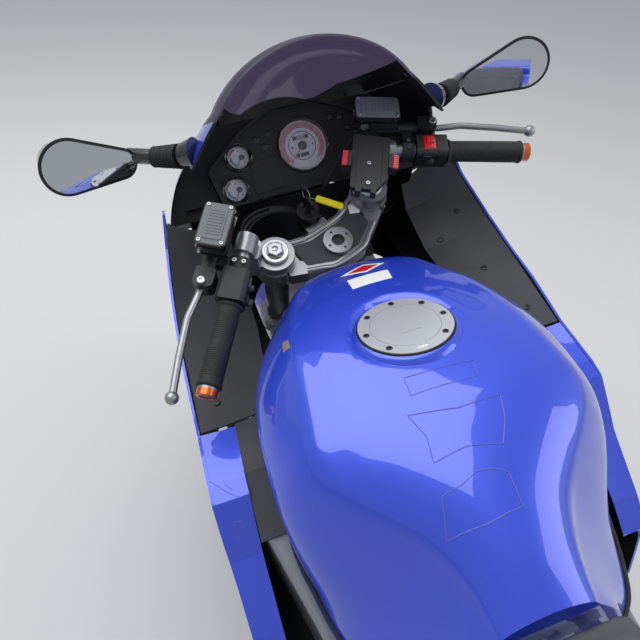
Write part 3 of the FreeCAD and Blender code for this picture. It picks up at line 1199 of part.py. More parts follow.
def make_side_stand():
    """Side stand, drawn where it stands: pivot eye, leg and flat foot on the ground."""
    pivot = STANCE.multVec(V(*STAND_PIVOT))
    foot = V(STAND_FOOT[0], STAND_FOOT[1], STAND_FOOT_SIZE[2])
    axis = stand_axis()
    eye = rod(pivot - axis * STAND_EYE_HALF, pivot + axis * STAND_EYE_HALF, 17)
    leg = rod(pivot, foot, STAND_R)
    bolt = rod(pivot - axis * 20, pivot + axis * 20, STAND_BOLT_R + RUN_FIT)
    face = STAND_EYE_HALF
    beside = fused(rod(pivot + axis * face, pivot + axis * (face + 20), 22),
                   rod(pivot - axis * (face + 20), pivot - axis * face, 22))
    sx, sy, sz = STAND_FOOT_SIZE
    pad = slab([(foot.x - sx / 2, foot.y - sy / 2, 12), (foot.x + sx / 2, foot.y - sy / 2, 12),
                (foot.x + sx / 2, foot.y + sy / 2, 12), (foot.x - sx / 2, foot.y + sy / 2, 12)], "z", 0, sz)
    under = block((foot.x - 60, foot.x + 60), (foot.y - 60, foot.y + 60), (-40, 0))
    return fused(eye, leg, pad).cut(under).cut(bolt).cut(beside)


def stand_axis():
    """Axis of the stand's pivot, at right angles to the leg both down and folded."""
    pivot = STANCE.multVec(V(*STAND_PIVOT))
    down = V(STAND_FOOT[0], STAND_FOOT[1], STAND_FOOT_SIZE[2]) - pivot
    folded = STANCE.Rotation.multVec(V(-0.16, -1, -0.03))
    return down.cross(folded).normalize()


# Hub radius and half length of each wheel, and where its disc's boss ends
FRONT_HUB = (42.0, 48.0)
REAR_HUB = (52.0, 70.0)
HUB_CENTRE = V(0, AXLE_F, AXLE_U)


def make_front_tyre():
    return tyre(HUB_CENTRE, FRONT_R, FRONT_CROWN, FRONT_CROWN, FRONT_RIM_HALF)


def make_front_rim():
    return rim(HUB_CENTRE, FRONT_RIM_HALF, *FRONT_HUB, AXLE_R + RUN_FIT)


def make_front_discs():
    return both(brake_disc(HUB_CENTRE, FRONT_DISC_X, FRONT_DISC_R, 118, 50, 30, FRONT_HUB[1] + 0.2))


def make_rear_tyre():
    return tyre(REAR_AXLE, REAR_R, REAR_CROWN, REAR_HALF_WIDTH, REAR_RIM_HALF)


def make_rear_rim():
    return rim(REAR_AXLE, REAR_RIM_HALF, *REAR_HUB, AXLE_R + RUN_FIT)


def make_rear_disc():
    return brake_disc(REAR_AXLE, REAR_DISC_X, REAR_DISC_R, 82, 50, 34, REAR_HUB[1] + 0.2)


# node: (body, builder, frame the builder draws in)
NODES = {
    "frame": ("chassis", make_frame, "bike"),
    "engine": ("chassis", make_engine, "bike"),
    "radiator": ("chassis", make_radiator, "bike"),
    "fuel_tank": ("chassis", make_tank, "bike"),
    "filler_ring": ("chassis", make_filler_ring, "bike"),
    "seat": ("chassis", make_seat, "bike"),
    "tail_cowl": ("chassis", make_tail, "bike"),
    "rear_lamps": ("chassis", make_rear_lamps, "bike"),
    "rear_mudguard": ("chassis", make_rear_mudguard, "bike"),
    "nose_cowl": ("chassis", make_nose, "bike"),
    "windscreen": ("chassis", make_windscreen, "bike"),
    "front_lamps": ("chassis", make_front_lamps, "bike"),
    "dash": ("chassis", make_dash, "bike"),
    "cowl_lining": ("chassis", make_cowl_lining, "bike"),
    "fairing_right": ("chassis", make_side_panel, "bike"),
    "fairing_left": ("chassis", lambda: mirrored(make_side_panel()), "bike"),
    "inner_panels": ("chassis", make_inner_panels, "bike"),
    "mirrors": ("chassis", make_mirrors, "bike"),
    "mirror_glass": ("chassis", make_mirror_glass, "bike"),
    "swingarm": ("chassis", make_swingarm, "bike"),
    "rear_axle": ("chassis", make_rear_axle, "bike"),
    "shock": ("chassis", make_shock, "bike"),
    "chain": ("chassis", make_chain, "bike"),
    "exhaust": ("chassis", make_exhaust, "bike"),
    "foot_rests": ("chassis", make_foot_rests, "bike"),
    "rear_caliper": ("chassis", make_rear_caliper, "bike"),
    "top_clamp": ("steering", make_top_clamp, "fork"),
    "lower_clamp": ("steering", make_lower_clamp, "fork"),
    "fork_legs": ("steering", make_fork_legs, "fork"),
    "handlebars": ("steering", make_handlebars, "fork"),
    "grips": ("steering", make_grips, "fork"),
    "controls": ("steering", make_controls, "fork"),
    "levers": ("steering", make_levers, "fork"),
    "ignition": ("steering", make_ignition, "fork"),
    "phone_holder": ("steering", make_phone_holder, "fork"),
    "front_mudguard": ("steering", make_front_mudguard, "fork"),
    "front_calipers": ("steering", make_front_calipers, "fork"),
    "front_axle": ("steering", make_front_axle, "fork"),
    "brake_lines": ("steering", make_brake_lines, "fork"),
    "front_tyre": ("front_wheel", make_front_tyre, "fork"),
    "front_rim": ("front_wheel", make_front_rim, "fork"),
    "front_discs": ("front_wheel", make_front_discs, "fork"),
    "rear_tyre": ("rear_wheel", make_rear_tyre, "bike"),
    "rear_rim": ("rear_wheel", make_rear_rim, "bike"),
    "rear_disc": ("rear_wheel", make_rear_disc, "bike"),
    "rear_sprocket": ("rear_wheel", make_rear_sprocket, "bike"),
    "side_stand": ("side_stand", make_side_stand, "ground"),
    "fuel_cap": ("fuel_cap", make_fuel_cap, "bike"),
}


def place(shape, frame):
    """Put a shape drawn in one of the three frames on the ground as it stands."""
    shape = shape.copy()
    if frame == "fork":
        shape.Placement = STANCE.multiply(STEERED).multiply(shape.Placement)
    elif frame == "bike":
        shape.Placement = STANCE.multiply(shape.Placement)
    return shape


def build():
    """All nodes as they stand, with the origin under the middle of the whole machine's box."""
    shapes = {}
    for name, (_, maker, frame) in NODES.items():
        shapes[name] = place(maker(), frame)
    box = Part.makeCompound(list(shapes.values())).optimalBoundingBox(False, False)
    shift = V(-(box.XMin + box.XMax) / 2, -(box.YMin + box.YMax) / 2, -box.ZMin)
    for shape in shapes.values():
        shape.translate(shift)
    return shapes, shift


if __name__ == "__main__":
    os.makedirs("parts", exist_ok=True)
    solids, _ = build()
    for node, solid in solids.items():
        solid.exportStep("parts/" + node + ".step")
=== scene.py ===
"""A faired sport motorcycle on its side stand: finishes, trim and small parts around the fixed frame."""

import json
import logging
import math
from dataclasses import dataclass, field
from enum import Enum
from typing import Callable, Sequence

import bpy
import numpy as np
from mathutils import Matrix, Vector
from mathutils.bvhtree import BVHTree


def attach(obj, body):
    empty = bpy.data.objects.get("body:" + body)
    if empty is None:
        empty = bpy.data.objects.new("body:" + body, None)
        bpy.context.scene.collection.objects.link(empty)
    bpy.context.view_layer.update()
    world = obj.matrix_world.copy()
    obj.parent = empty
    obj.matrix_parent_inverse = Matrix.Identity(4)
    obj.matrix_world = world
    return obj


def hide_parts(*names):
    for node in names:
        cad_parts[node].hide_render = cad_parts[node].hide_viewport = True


LOG = logging.getLogger("sport_bike")
MM = 0.001
# Where the rays start that find a skin: above the whole machine, above its panels and beside it, mm
OVERHEAD, ABOVE_PANELS, BESIDE = 1200, 1000, 400
# Travel across a tyre that stands for a point off the tread, mm
OFF_TREAD = 999.0

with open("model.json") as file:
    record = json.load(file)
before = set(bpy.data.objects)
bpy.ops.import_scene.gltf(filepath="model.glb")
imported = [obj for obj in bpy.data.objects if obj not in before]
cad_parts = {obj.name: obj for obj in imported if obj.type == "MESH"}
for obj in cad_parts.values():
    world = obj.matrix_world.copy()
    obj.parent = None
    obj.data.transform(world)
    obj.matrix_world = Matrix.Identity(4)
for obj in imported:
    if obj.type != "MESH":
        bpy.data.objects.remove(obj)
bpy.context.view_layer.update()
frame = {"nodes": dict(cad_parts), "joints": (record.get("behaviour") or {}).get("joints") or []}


def linear(code: str, alpha: float = 1.0) -> tuple[float, float, float, float]:
    """Turn an sRGB hex colour into linear light.

    Args:
        code: six hex digits, with or without a leading #.
        alpha: opacity carried through unchanged.

    Returns:
        Red, green, blue and alpha as a shader socket wants them.
    """
    digits = code.lstrip("#")
    shares = [int(digits[i:i + 2], 16) / 255 for i in (0, 2, 4)]
    light = [s / 12.92 if s <= 0.04045 else ((s + 0.055) / 1.055) ** 2.4 for s in shares]
    return (light[0], light[1], light[2], alpha)


# Finishes


class Tree:
    """A material's node tree with short calls to add and join nodes."""

    def __init__(self, name: str) -> None:
        """Start an empty opaque material.

        Args:
            name: the real substance and finish.
        """
        self.material = bpy.data.materials.new(name)
        self.material.use_nodes = True
        self.nodes = self.material.node_tree.nodes
        self.nodes.clear()
        self.output = self.add("ShaderNodeOutputMaterial")

    def add(self, kind: str, **sockets: object) -> bpy.types.Node:
        """Add a node and set its sockets.

        Args:
            kind: the node's type name.
            sockets: values or output sockets by input name, with _ for a space.

        Returns:
            The new node.
        """
        node = self.nodes.new(kind)
        for key, value in sockets.items():
            self.put(node, key.replace("_", " "), value)
        return node

    def put(self, node: bpy.types.Node, key: str | int, value: object) -> None:
        """Set one input to a constant or join an output to it."""
        socket = node.inputs[key]
        if isinstance(value, bpy.types.NodeSocket):
            self.material.node_tree.links.new(value, socket)
        else:
            socket.default_value = value

    def place(self) -> bpy.types.NodeSocket:
        """Object coordinates in metres."""
        return self.add("ShaderNodeTexCoord").outputs["Object"]

    def noise(self, per_mm: float, detail: float = 3.0, rough: float = 0.5) -> bpy.types.NodeSocket:
        """Noise whose cells are per_mm wide, as a factor of 0 to 1."""
        node = self.add("ShaderNodeTexNoise", Vector=self.place(), Scale=1.0 / (per_mm * MM), Detail=detail,
                        Roughness=rough)
        return node.outputs["Fac"]

    def span(self, factor: bpy.types.NodeSocket, low: float, high: float) -> bpy.types.NodeSocket:
        """Map a factor of 0 to 1 onto low to high."""
        node = self.add("ShaderNodeMapRange")
        self.put(node, 0, factor)
        self.put(node, "To Min", low)
        self.put(node, "To Max", high)
        return node.outputs[0]

    def mix(self, factor: bpy.types.NodeSocket, first: object, second: object) -> bpy.types.NodeSocket:
        """Blend two colours by a factor."""
        node = self.nodes.new("ShaderNodeMix")
        node.data_type = "RGBA"
        self.put(node, 0, factor)
        self.put(node, 6, first)
        self.put(node, 7, second)
        return node.outputs[2]

    def bump(self, height: bpy.types.NodeSocket, depth_mm: float,
             strength: float = 1.0) -> bpy.types.NodeSocket:
        """Normal of a surface relief whose full height is depth_mm."""
        return self.add("ShaderNodeBump", Height=height, Distance=depth_mm * MM, Strength=strength).outputs[0]

    def surface(self, shader: bpy.types.Node) -> bpy.types.Material:
        """Finish the tree with its surface shader."""
        self.put(self.output, "Surface", shader.outputs[0])
        return self.material


@dataclass(frozen=True)
class Finish:
    """Plain coated or moulded surface.

    Attributes:
        name: real substance and finish.
        colour: sRGB hex colour.
        rough: microfacet roughness.
        metal: 1 for bare metal.
        coat: weight of the clear lacquer over it.
        grain_mm: width of the surface grain, 0 for none.
        grain_depth_mm: its depth.
        vary: share by which the colour wanders.
    """

    name: str
    colour: str
    rough: float = 0.5
    metal: float = 0.0
    coat: float = 0.0
    grain_mm: float = 0.0
    grain_depth_mm: float = 0.0
    vary: float = 0.0

    def material(self) -> bpy.types.Material:
        """The material, built when it is first asked for."""
        return bpy.data.materials.get(self.name) or self.build(Tree(self.name))

    def build(self, tree: Tree) -> bpy.types.Material:
        """Build a coat whose gloss and colour wander a little, with its grain where it has one."""
        shader = tree.add("ShaderNodeBsdfPrincipled", Base_Color=linear(self.colour), Metallic=self.metal,
                          Roughness=self.rough, Coat_Weight=self.coat, Coat_Roughness=0.03)
        cloud = tree.noise(70.0)
        tree.put(shader, "Roughness", tree.span(cloud, self.rough * 0.85, min(1.0, self.rough * 1.15)))
        if self.vary:
            dark = linear(self.colour)
            dark = tuple(c * (1 - self.vary) for c in dark[:3]) + (1.0,)
            tree.put(shader, "Base Color", tree.mix(cloud, linear(self.colour), dark))
        if self.grain_mm:
            relief = tree.noise(self.grain_mm, 2.0)
            tree.put(shader, "Normal", tree.bump(relief, self.grain_depth_mm))
        return tree.surface(shader)


@dataclass(frozen=True)
class FlakePaint(Finish):
    """Lacquer over a coat of fine metal flakes."""

    def build(self, tree: Tree) -> bpy.types.Material:
        """Build a base coat with a faint sparkle under a smooth clear coat."""
        flakes = tree.noise(0.9, 1.0)
        base = linear(self.colour)
        lit = tuple(min(1.0, c * 1.25) for c in base[:3]) + (1.0,)
        shader = tree.add("ShaderNodeBsdfPrincipled", Metallic=self.metal, Coat_Weight=1.0, Coat_Roughness=0.02,
                          Base_Color=tree.mix(flakes, base, lit),
                          Roughness=tree.span(flakes, self.rough * 0.8, self.rough * 1.2))
        return tree.surface(shader)


@dataclass(frozen=True)
class Brushed(Finish):
    """Bare metal drawn along one axis of the machine."""

    def build(self, tree: Tree) -> bpy.types.Material:
        """Build stretched noise that roughens and lifts the surface."""
        stretch = tree.add("ShaderNodeMapping", Vector=tree.place())
        tree.put(stretch, "Scale", (1.0, 0.06, 1.0))
        lines = tree.add("ShaderNodeTexNoise", Vector=stretch.outputs[0], Scale=1400.0, Detail=2.0)
        shader = tree.add("ShaderNodeBsdfPrincipled", Base_Color=linear(self.colour), Metallic=self.metal,
                          Roughness=tree.span(lines.outputs["Fac"], self.rough * 0.7, self.rough * 1.3),
                          Normal=tree.bump(lines.outputs["Fac"], 0.002))
        return tree.surface(shader)


@dataclass(frozen=True)
class Clear(Finish):
    """Tinted clear plastic or glass.

    Attributes:
        clear: share of light that passes straight through.
    """

    clear: float = 0.6

    def build(self, tree: Tree) -> bpy.types.Material:
        """Build a transparent layer under a gloss that is mixed by the view angle of the surface."""
        through = tree.add("ShaderNodeBsdfTransparent", Color=linear(self.colour))
        body = tree.add("ShaderNodeBsdfPrincipled", Base_Color=linear(self.colour), Roughness=self.rough,
                        Coat_Weight=1.0)
        layered = tree.add("ShaderNodeMixShader", Fac=1 - self.clear)
        tree.put(layered, 1, through.outputs[0])
        tree.put(layered, 2, body.outputs[0])
        return tree.surface(layered)


@dataclass(frozen=True)
class Glow(Finish):
    """Faintly lit display or lamp."""

    def build(self, tree: Tree) -> bpy.types.Material:
        """Build a matt surface that gives off a little of its own colour."""
        shader = tree.add("ShaderNodeBsdfPrincipled", Base_Color=linear(self.colour), Roughness=self.rough,
                          Emission_Color=linear(self.colour), Emission_Strength=0.25)
        return tree.surface(shader)


class Look(Enum):
    """Every finish on the machine."""

    # Deep blue flake lacquer on tank and fairing
    BLUE = FlakePaint("blue_flake_lacquer", "2440BE", 0.38, 0.3)
    # Cast aluminium under clear lacquer: clamps, bar clamps, frame
    CAST = Finish("cast_aluminium_lacquered", "97989B", 0.4, 0.85, 0.2, 1.6, 0.03, 0.1)
    # Sand-cast engine metal
    ENGINE = Finish("satin_cast_engine_metal", "6E7074", 0.5, 0.8, 0.0, 2.2, 0.08, 0.2)
    # Brushed aluminium of the fuel cap
    BRUSHED = Brushed("brushed_aluminium", "D3D5D8", 0.36, 0.7)
    # Ground steel discs, axles and sprocket
    STEEL = Brushed("ground_steel", "9C9DA0", 0.3, 0.9)
    # Exhaust steel dulled by heat
    EXHAUST = Finish("heat_dulled_stainless", "8C857A", 0.32, 1.0, 0.0, 6.0, 0.02, 0.35)
    # Oiled chain
    CHAIN = Finish("oiled_chain_steel", "4E4A42", 0.38, 0.9, 0.0, 1.0, 0.03, 0.3)
    # Grained black trim plastic
    BLACK = Finish("black_grained_plastic", "17171A", 0.55, 0.0, 0.0, 0.9, 0.06)
    # Gloss black plastic rim
    PIANO = Finish("black_gloss_plastic", "0C0C0E", 0.18, 0.0, 0.6)
    # Satin black stove enamel on metal
    ENAMEL = Finish("satin_black_enamel", "141416", 0.35, 0.3, 0.2, 1.4, 0.03)
    # Dark grey inner panels
    GREY = Finish("matt_dark_grey_plastic", "36373B", 0.62, 0.0, 0.0, 0.7, 0.05, 0.15)
    # Tyre rubber
    TYRE = Finish("tyre_rubber", "1B1B1C", 0.8, 0.0, 0.0, 1.2, 0.08, 0.25)
    # Grip and hose rubber
    RUBBER = Finish("moulded_black_rubber", "161617", 0.7, 0.0, 0.0, 0.8, 0.06)
    # Seat vinyl
    VINYL = Finish("grained_grey_vinyl", "48494D", 0.6, 0.0, 0.0, 1.5, 0.15, 0.1)
    # Smoke-tinted screen
    SMOKE = Clear("smoke_tinted_screen", "A49AB2", 0.08, clear=0.8)
    # Clear lens of lamps and dials
    LENS = Clear("clear_lens", "F2F4F6", 0.04, clear=0.88)
    # Red tail lens
    RED_LENS = Finish("red_lamp_lens", "A0100E", 0.15, 0.0, 0.8)
    # Amber indicator lens
    AMBER = Finish("amber_lamp_lens", "D9760F", 0.2, 0.0, 0.8)
    # Mirror glass
    MIRROR = Finish("silvered_mirror_glass", "E6E8EA", 0.02, 1.0)
    # Silver wheel lacquer
    WHEEL = Finish("silver_wheel_lacquer", "B8BABF", 0.34, 0.7, 0.5)
    # Powder-coated coil spring
    SPRING = Finish("powder_coated_spring_steel", "8E9197", 0.4, 0.3, 0.3)
    # Red moulded switch and jaw pads
    RED = Finish("red_moulded_plastic", "C31418", 0.4, 0.0, 0.2)
    # Yellow key tag
    YELLOW = Finish("yellow_tag_plastic", "E6D21E", 0.45)
    # Orange anodised bar ends
    ORANGE = Finish("copper_anodised_ring", "D0642A", 0.3, 0.8, 0.2)
    # White dial print
    DIAL = Finish("white_dial_print", "E9E7E6", 0.5)
    # Pink band of the dials
    PINK = Finish("pink_dial_print", "D98A92", 0.5)
    # Dial and scale black
    INK = Finish("black_dial_ink", "1C1C1E", 0.5)
    # Dial blue
    BLUE_INK = Finish("blue_dial_print", "3D5FC0", 0.5)
    # Grey display
    DISPLAY = Glow("grey_green_display", "5B605C", 0.3)
    # Edge of the clear film patches on the tank
    FILM_EDGE = Finish("clouded_film_edge", "5A62A8", 0.4)
    # Lacquer worn through to primer
    SCUFF = Finish("worn_lacquer", "8A7A66", 0.6, vary=0.4)
    # Grey weathered lid of the fluid reservoirs
    LID = Finish("weathered_grey_plastic", "6A6C70", 0.6, 0.0, 0.0, 1.1, 0.08, 0.25)
    # Blank label stock
    LABEL = Finish("blank_white_label", "E4E4E2", 0.4, 0.0, 0.4)

    def get(self) -> bpy.types.Material:
        """Return the Blender material."""
        return self.value.material()


NODE_LOOKS: dict[str, Look] = {
    "frame": Look.CAST, "swingarm": Look.CAST, "top_clamp": Look.CAST, "lower_clamp": Look.CAST,
    "fork_legs": Look.CAST, "handlebars": Look.CAST, "engine": Look.ENGINE, "radiator": Look.ENAMEL,
    "fuel_tank": Look.BLUE, "tail_cowl": Look.BLUE, "nose_cowl": Look.BLUE, "fairing_right": Look.BLUE,
    "fairing_left": Look.BLUE, "front_mudguard": Look.BLUE, "filler_ring": Look.BRUSHED,
    "fuel_cap": Look.BRUSHED, "ignition": Look.ENAMEL, "seat": Look.VINYL, "rear_lamps": Look.RED_LENS,
    "rear_mudguard": Look.BLACK, "windscreen": Look.SMOKE, "front_lamps": Look.LENS, "dash": Look.BLACK,
    "cowl_lining": Look.BLACK, "inner_panels": Look.GREY, "mirrors": Look.BLUE, "mirror_glass": Look.MIRROR,
    "rear_axle": Look.STEEL, "shock": Look.ENAMEL, "chain": Look.CHAIN, "exhaust": Look.EXHAUST,
    "foot_rests": Look.ENAMEL, "rear_caliper": Look.ENAMEL, "grips": Look.RUBBER, "controls": Look.BLACK,
    "levers": Look.CAST, "phone_holder": Look.BLACK, "front_calipers": Look.ENAMEL, "front_axle": Look.STEEL,
    "brake_lines": Look.RUBBER, "front_tyre": Look.TYRE, "front_rim": Look.WHEEL, "front_discs": Look.STEEL,
    "rear_tyre": Look.TYRE, "rear_rim": Look.WHEEL, "rear_disc": Look.STEEL, "rear_sprocket": Look.STEEL,
    "side_stand": Look.ENAMEL,
}


# Frames of reference


@dataclass(frozen=True)
class Axes:
    """A frame on the machine, for points given in millimetres.

    Attributes:
        origin: its origin in the row frame, metres.
        x: unit vector of its first axis.
        y: unit vector of its second axis.
        z: unit vector of its third axis.
    """

    origin: np.ndarray
    x: np.ndarray
    y: np.ndarray
    z: np.ndarray

    def point(self, x: float, y: float, z: float) -> np.ndarray:
        """Row-frame position, in metres, of a point in mm."""
        return self.origin + (self.x * x + self.y * y + self.z * z) * MM

    def points(self, rows: Sequence[Sequence[float]] | np.ndarray) -> np.ndarray:
        """Row-frame positions of an array of points in mm, along its last axis."""
        local = np.asarray(rows, float) * MM
        return self.origin + local @ np.array([self.x, self.y, self.z])

    def inner(self, origin: Sequence[float], x: Sequence[float], y: Sequence[float]) -> "Axes":
        """Frame at a local origin, with its first axis along x and its second as near y as it can be."""
        turn = np.array([self.x, self.y, self.z])
        first = unit(np.asarray(x, float) @ turn)
        second = np.asarray(y, float) @ turn
        second = unit(second - first * (second @ first))
        return Axes(self.point(*origin), first, second, np.cross(first, second))

    def at(self, origin: Sequence[float]) -> "Axes":
        """Frame at a local origin with the same directions."""
        return self.inner(origin, (1, 0, 0), (0, 1, 0))

    def local(self, points: np.ndarray) -> np.ndarray:
        """Points of the row frame in this frame, mm."""
        return (points - self.origin) @ np.array([self.x, self.y, self.z]).T / MM


def unit(v: np.ndarray) -> np.ndarray:
    """Vector of length 1 along v."""
    return v / np.linalg.norm(v)


@dataclass
class Machine:
    """The machine's own frames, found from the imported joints.

    Attributes:
        rake: angle of the steering axis from upright, degrees.
        rear_radius: rear axle's height over the ground line, mm.
        lock: turn of the steering to the left, degrees.
    """

    rake: float = 25.0
    rear_radius: float = 315.0
    lock: float = 22.0
    bike: Axes = field(init=False)
    fork: Axes = field(init=False)

    def __post_init__(self) -> None:
        """Work the bike's and the fork's frames out of the rear axle and the steering axis."""
        joints = {j["name"]: j for j in frame["joints"]}
        across = unit(np.array(joints["rear_wheel"]["axis"], float))
        up_s = unit(np.array(joints["steering"]["axis"], float))
        ahead = np.cross(up_s, across)
        tilt = math.radians(self.rake)
        y = ahead * math.cos(tilt) - up_s * math.sin(tilt)
        z = ahead * math.sin(tilt) + up_s * math.cos(tilt)
        origin = np.array(joints["rear_wheel"]["pos_m"], float) - z * self.rear_radius * MM
        self.bike = Axes(origin, across, y, z)
        turn = math.radians(self.lock)
        f_axis = ahead * math.cos(turn) - across * math.sin(turn)
        x_axis = across * math.cos(turn) + ahead * math.sin(turn)
        steering = np.array(joints["steering"]["pos_m"], float) + up_s * 100 * MM
        self.fork = Axes(steering, x_axis, f_axis, up_s)


@dataclass
class Studio:
    """Floor, light and camera.

    Attributes:
        machine: where the machine's frames are.
        eye: camera in the bike's frame, mm.
        right: its right-hand direction there.
        ahead: its viewing direction there.
        lens: focal length over a 36 mm square.
    """

    machine: Machine
    eye: tuple[float, float, float] = (-229.5, 348.3, 1427.6)
    right: tuple[float, float, float] = (0.9461, -0.3087, -0.0984)
    ahead: tuple[float, float, float] = (0.168, 0.7273, -0.6655)
    lens: float = 33.0

    def build(self) -> None:
        """Put the floor, the lights and the camera in place."""
        self.floor()
        self.lights()
        self.camera()

    def floor(self) -> None:
        """Lay a plain pale floor under the machine."""
        half = 30.0
        verts = np.array([(-half, -half, -0.0005), (half, -half, -0.0005), (half, half, -0.0005),
                          (-half, half, -0.0005)])
        floor = new_mesh("studio_floor", verts, [(0, 1, 2, 3)], Finish("pale_studio_floor", "C9C8C6", 0.8))

    def lights(self) -> None:
        """Hang a wide overhead softbox and a weaker one to the side in a pale room."""
        world = bpy.data.worlds.new("pale_room")
        bpy.context.scene.world = world
        world.use_nodes = True
        back = world.node_tree.nodes["Background"]
        back.inputs["Color"].default_value = linear("DDE3EC")
        back.inputs["Strength"].default_value = 0.75
        for name, place, size, power in (("overhead_softbox", (-1.0, 1.2, 4.2), 4.0, 150.0),
                                         ("side_softbox", (3.6, -1.6, 2.6), 2.4, 45.0)):
            light = bpy.data.lights.new(name, "AREA")
            light.size = size
            light.energy = power
            lamp = bpy.data.objects.new(name, light)
            lamp.location = place
            lamp.rotation_mode = "QUATERNION"
            lamp.rotation_quaternion = (Vector((0, 0.2, 0.7)) - Vector(place)).to_track_quat("-Z", "Y")
            bpy.context.scene.collection.objects.link(lamp)

    def camera(self) -> None:
        """Aim the camera as seen over the rider's seat."""
        data = bpy.data.cameras.new("over_the_seat")
        data.sensor_width = 36.0
        data.lens = self.lens
        data.clip_start = 0.02
        cam = bpy.data.objects.new("over_the_seat", data)
        bpy.context.scene.collection.objects.link(cam)
        turn = np.array([self.machine.bike.x, self.machine.bike.y, self.machine.bike.z])
        x = unit(np.array(self.right) @ turn)
        back = -unit(np.array(self.ahead) @ turn)
        y = unit(np.cross(back, x))
        x = np.cross(y, back)
        cam.matrix_world = Matrix([[*row, place] for row, place in zip(np.array([x, y, back]).T,
                                                                      self.machine.bike.point(*self.eye))]
                                  + [[0, 0, 0, 1]])
        bpy.context.scene.camera = cam


# Meshes


def new_mesh(name: str, verts: np.ndarray, faces: Sequence[Sequence[int]], finish: Finish | Look,
             smooth: bool = False) -> bpy.types.Object:
    """Put vertices and faces in the scene as one object at the origin.

    Args:
        name: the object's name.
        verts: positions in metres, one row each.
        faces: vertex numbers of each face, counter-clockwise from outside.
        finish: its finish.
        smooth: whether its faces are shaded smooth.

    Returns:
        The new object.
    """
    mesh = bpy.data.meshes.new(name)
    mesh.from_pydata([tuple(v) for v in verts], [], [tuple(int(i) for i in f) for f in faces])
    mesh.materials.append(finish.get() if isinstance(finish, Look) else finish.material())
    if smooth:
        mesh.shade_smooth()
    obj = bpy.data.objects.new(name, mesh)
    bpy.context.scene.collection.objects.link(obj)
    return obj


# Shapes


@dataclass
class Shape:
    """A closed or open skin: vertices in metres in the row frame, and faces by vertex number.

    Attributes:
        verts: one row of three numbers a vertex.
        faces: vertex numbers, counter-clockwise from outside.
    """

    verts: np.ndarray
    faces: list[tuple[int, ...]]

    def turned_out(self) -> "Shape":
        """Same skin facing the other way."""
        return Shape(self.verts, [tuple(reversed(f)) for f in self.faces])


def join(shapes: Sequence[Shape]) -> Shape:
    """Put several skins in one."""
    verts, faces, start = [], [], 0
    for shape in shapes:
        verts.append(shape.verts)
        faces += [tuple(i + start for i in f) for f in shape.faces]
        start += len(shape.verts)
    return Shape(np.concatenate(verts), faces)


def grid(points: np.ndarray, wrap_u: bool = False, wrap_v: bool = False) -> Shape:
    """Quads over a table of points.

    Args:
        points: array of rows, columns and three coordinates.
        wrap_u: join the last row to the first.
        wrap_v: join the last column to the first.

    Returns:
        A skin whose outside is to the left of rows crossed with columns.
    """
    rows, cols = points.shape[:2]
    faces = []
    for i in range(rows if wrap_u else rows - 1):
        for j in range(cols if wrap_v else cols - 1):
            a, b = i * cols + j, i * cols + (j + 1) % cols
            c, d = ((i + 1) % rows) * cols + (j + 1) % cols, ((i + 1) % rows) * cols + j
            faces.append((a, d, c, b))
    return Shape(points.reshape(-1, 3), faces)


def turned(axes: Axes, profile: Sequence[tuple[float, float]], sides: int = 32, ends: bool = True) -> Shape:
    """Solid of revolution about the third axis of a frame.

    Args:
        axes: frame whose third axis is the spindle.
        profile: radius and height of each ring, in mm, from bottom to top on the outside.
        sides: facets round the axis.
        ends: close the first and last rings with a face.

    Returns:
        The skin.
    """
    angles = np.linspace(0, 2 * math.pi, sides, endpoint=False)
    table = np.array([[(r * math.cos(a), r * math.sin(a), h) for r, h in profile] for a in angles])
    shape = grid(axes.points(table), wrap_u=True)
    if ends:
        cols = len(profile)
        if profile[0][0] > 0:
            shape.faces.append(tuple(i * cols for i in reversed(range(sides))))
        if profile[-1][0] > 0:
            shape.faces.append(tuple(i * cols + cols - 1 for i in range(sides)))
    return shape


def sweep(path: np.ndarray, radius: float | np.ndarray, sides: int = 12, closed: bool = False) -> Shape:
    """Round tube along a path: the ring's frame is carried on without twist from point to point.

    Args:
        path: points in metres.
        radius: radius in mm, one for all or one a point.
        sides: facets round the tube.
        closed: whether the path joins up.

    Returns:
        The skin, with flat ends when open.
    """
    path = np.asarray(path, float)
    if closed:
        way = np.roll(path, -1, 0) - np.roll(path, 1, 0)
    else:
        way = np.gradient(path, axis=0)
    way /= np.linalg.norm(way, axis=1)[:, None]
    radii = np.broadcast_to(np.asarray(radius, float) * MM, (len(path),))
    side = np.cross(way[0], (0.3, 0.5, 0.81))
    side /= np.linalg.norm(side)
    angles = np.linspace(0, 2 * math.pi, sides, endpoint=False)
    rings = []
    for p, w, r in zip(path, way, radii):
        side = side - w * (side @ w)
        side /= np.linalg.norm(side)
        up = np.cross(w, side)
        rings.append(p + (np.outer(np.cos(angles), side) + np.outer(np.sin(angles), up)) * r)
    shape = grid(np.array(rings), wrap_u=closed, wrap_v=True).turned_out()
    if not closed:
        shape.faces.append(tuple(reversed(range(sides))))
        shape.faces.append(tuple(range((len(path) - 1) * sides, len(path) * sides)))
    return shape


def curve(points: Sequence[Sequence[float]] | np.ndarray, steps: int = 8, closed: bool = False) -> np.ndarray:
    """Smooth line through points: each span is a cubic whose end slopes are half its neighbours' chord."""
    pts = np.asarray(points, float)
    count = len(pts)
    spans = count if closed else count - 1
    out = []
    for i in range(spans):
        p1, p2 = pts[i], pts[(i + 1) % count]
        p0 = pts[i - 1] if closed or i else 2 * p1 - p2
        p3 = pts[(i + 2) % count] if closed or i + 2 < count else 2 * p2 - p1
        for t in np.linspace(0, 1, steps, endpoint=False):
            out.append(0.5 * (2 * p1 + (p2 - p0) * t + (2 * p0 - 5 * p1 + 4 * p2 - p3) * t ** 2
                              + (3 * p1 - 3 * p2 + p3 - p0) * t ** 3))
    if not closed:
        out.append(pts[-1])
    return np.array(out)


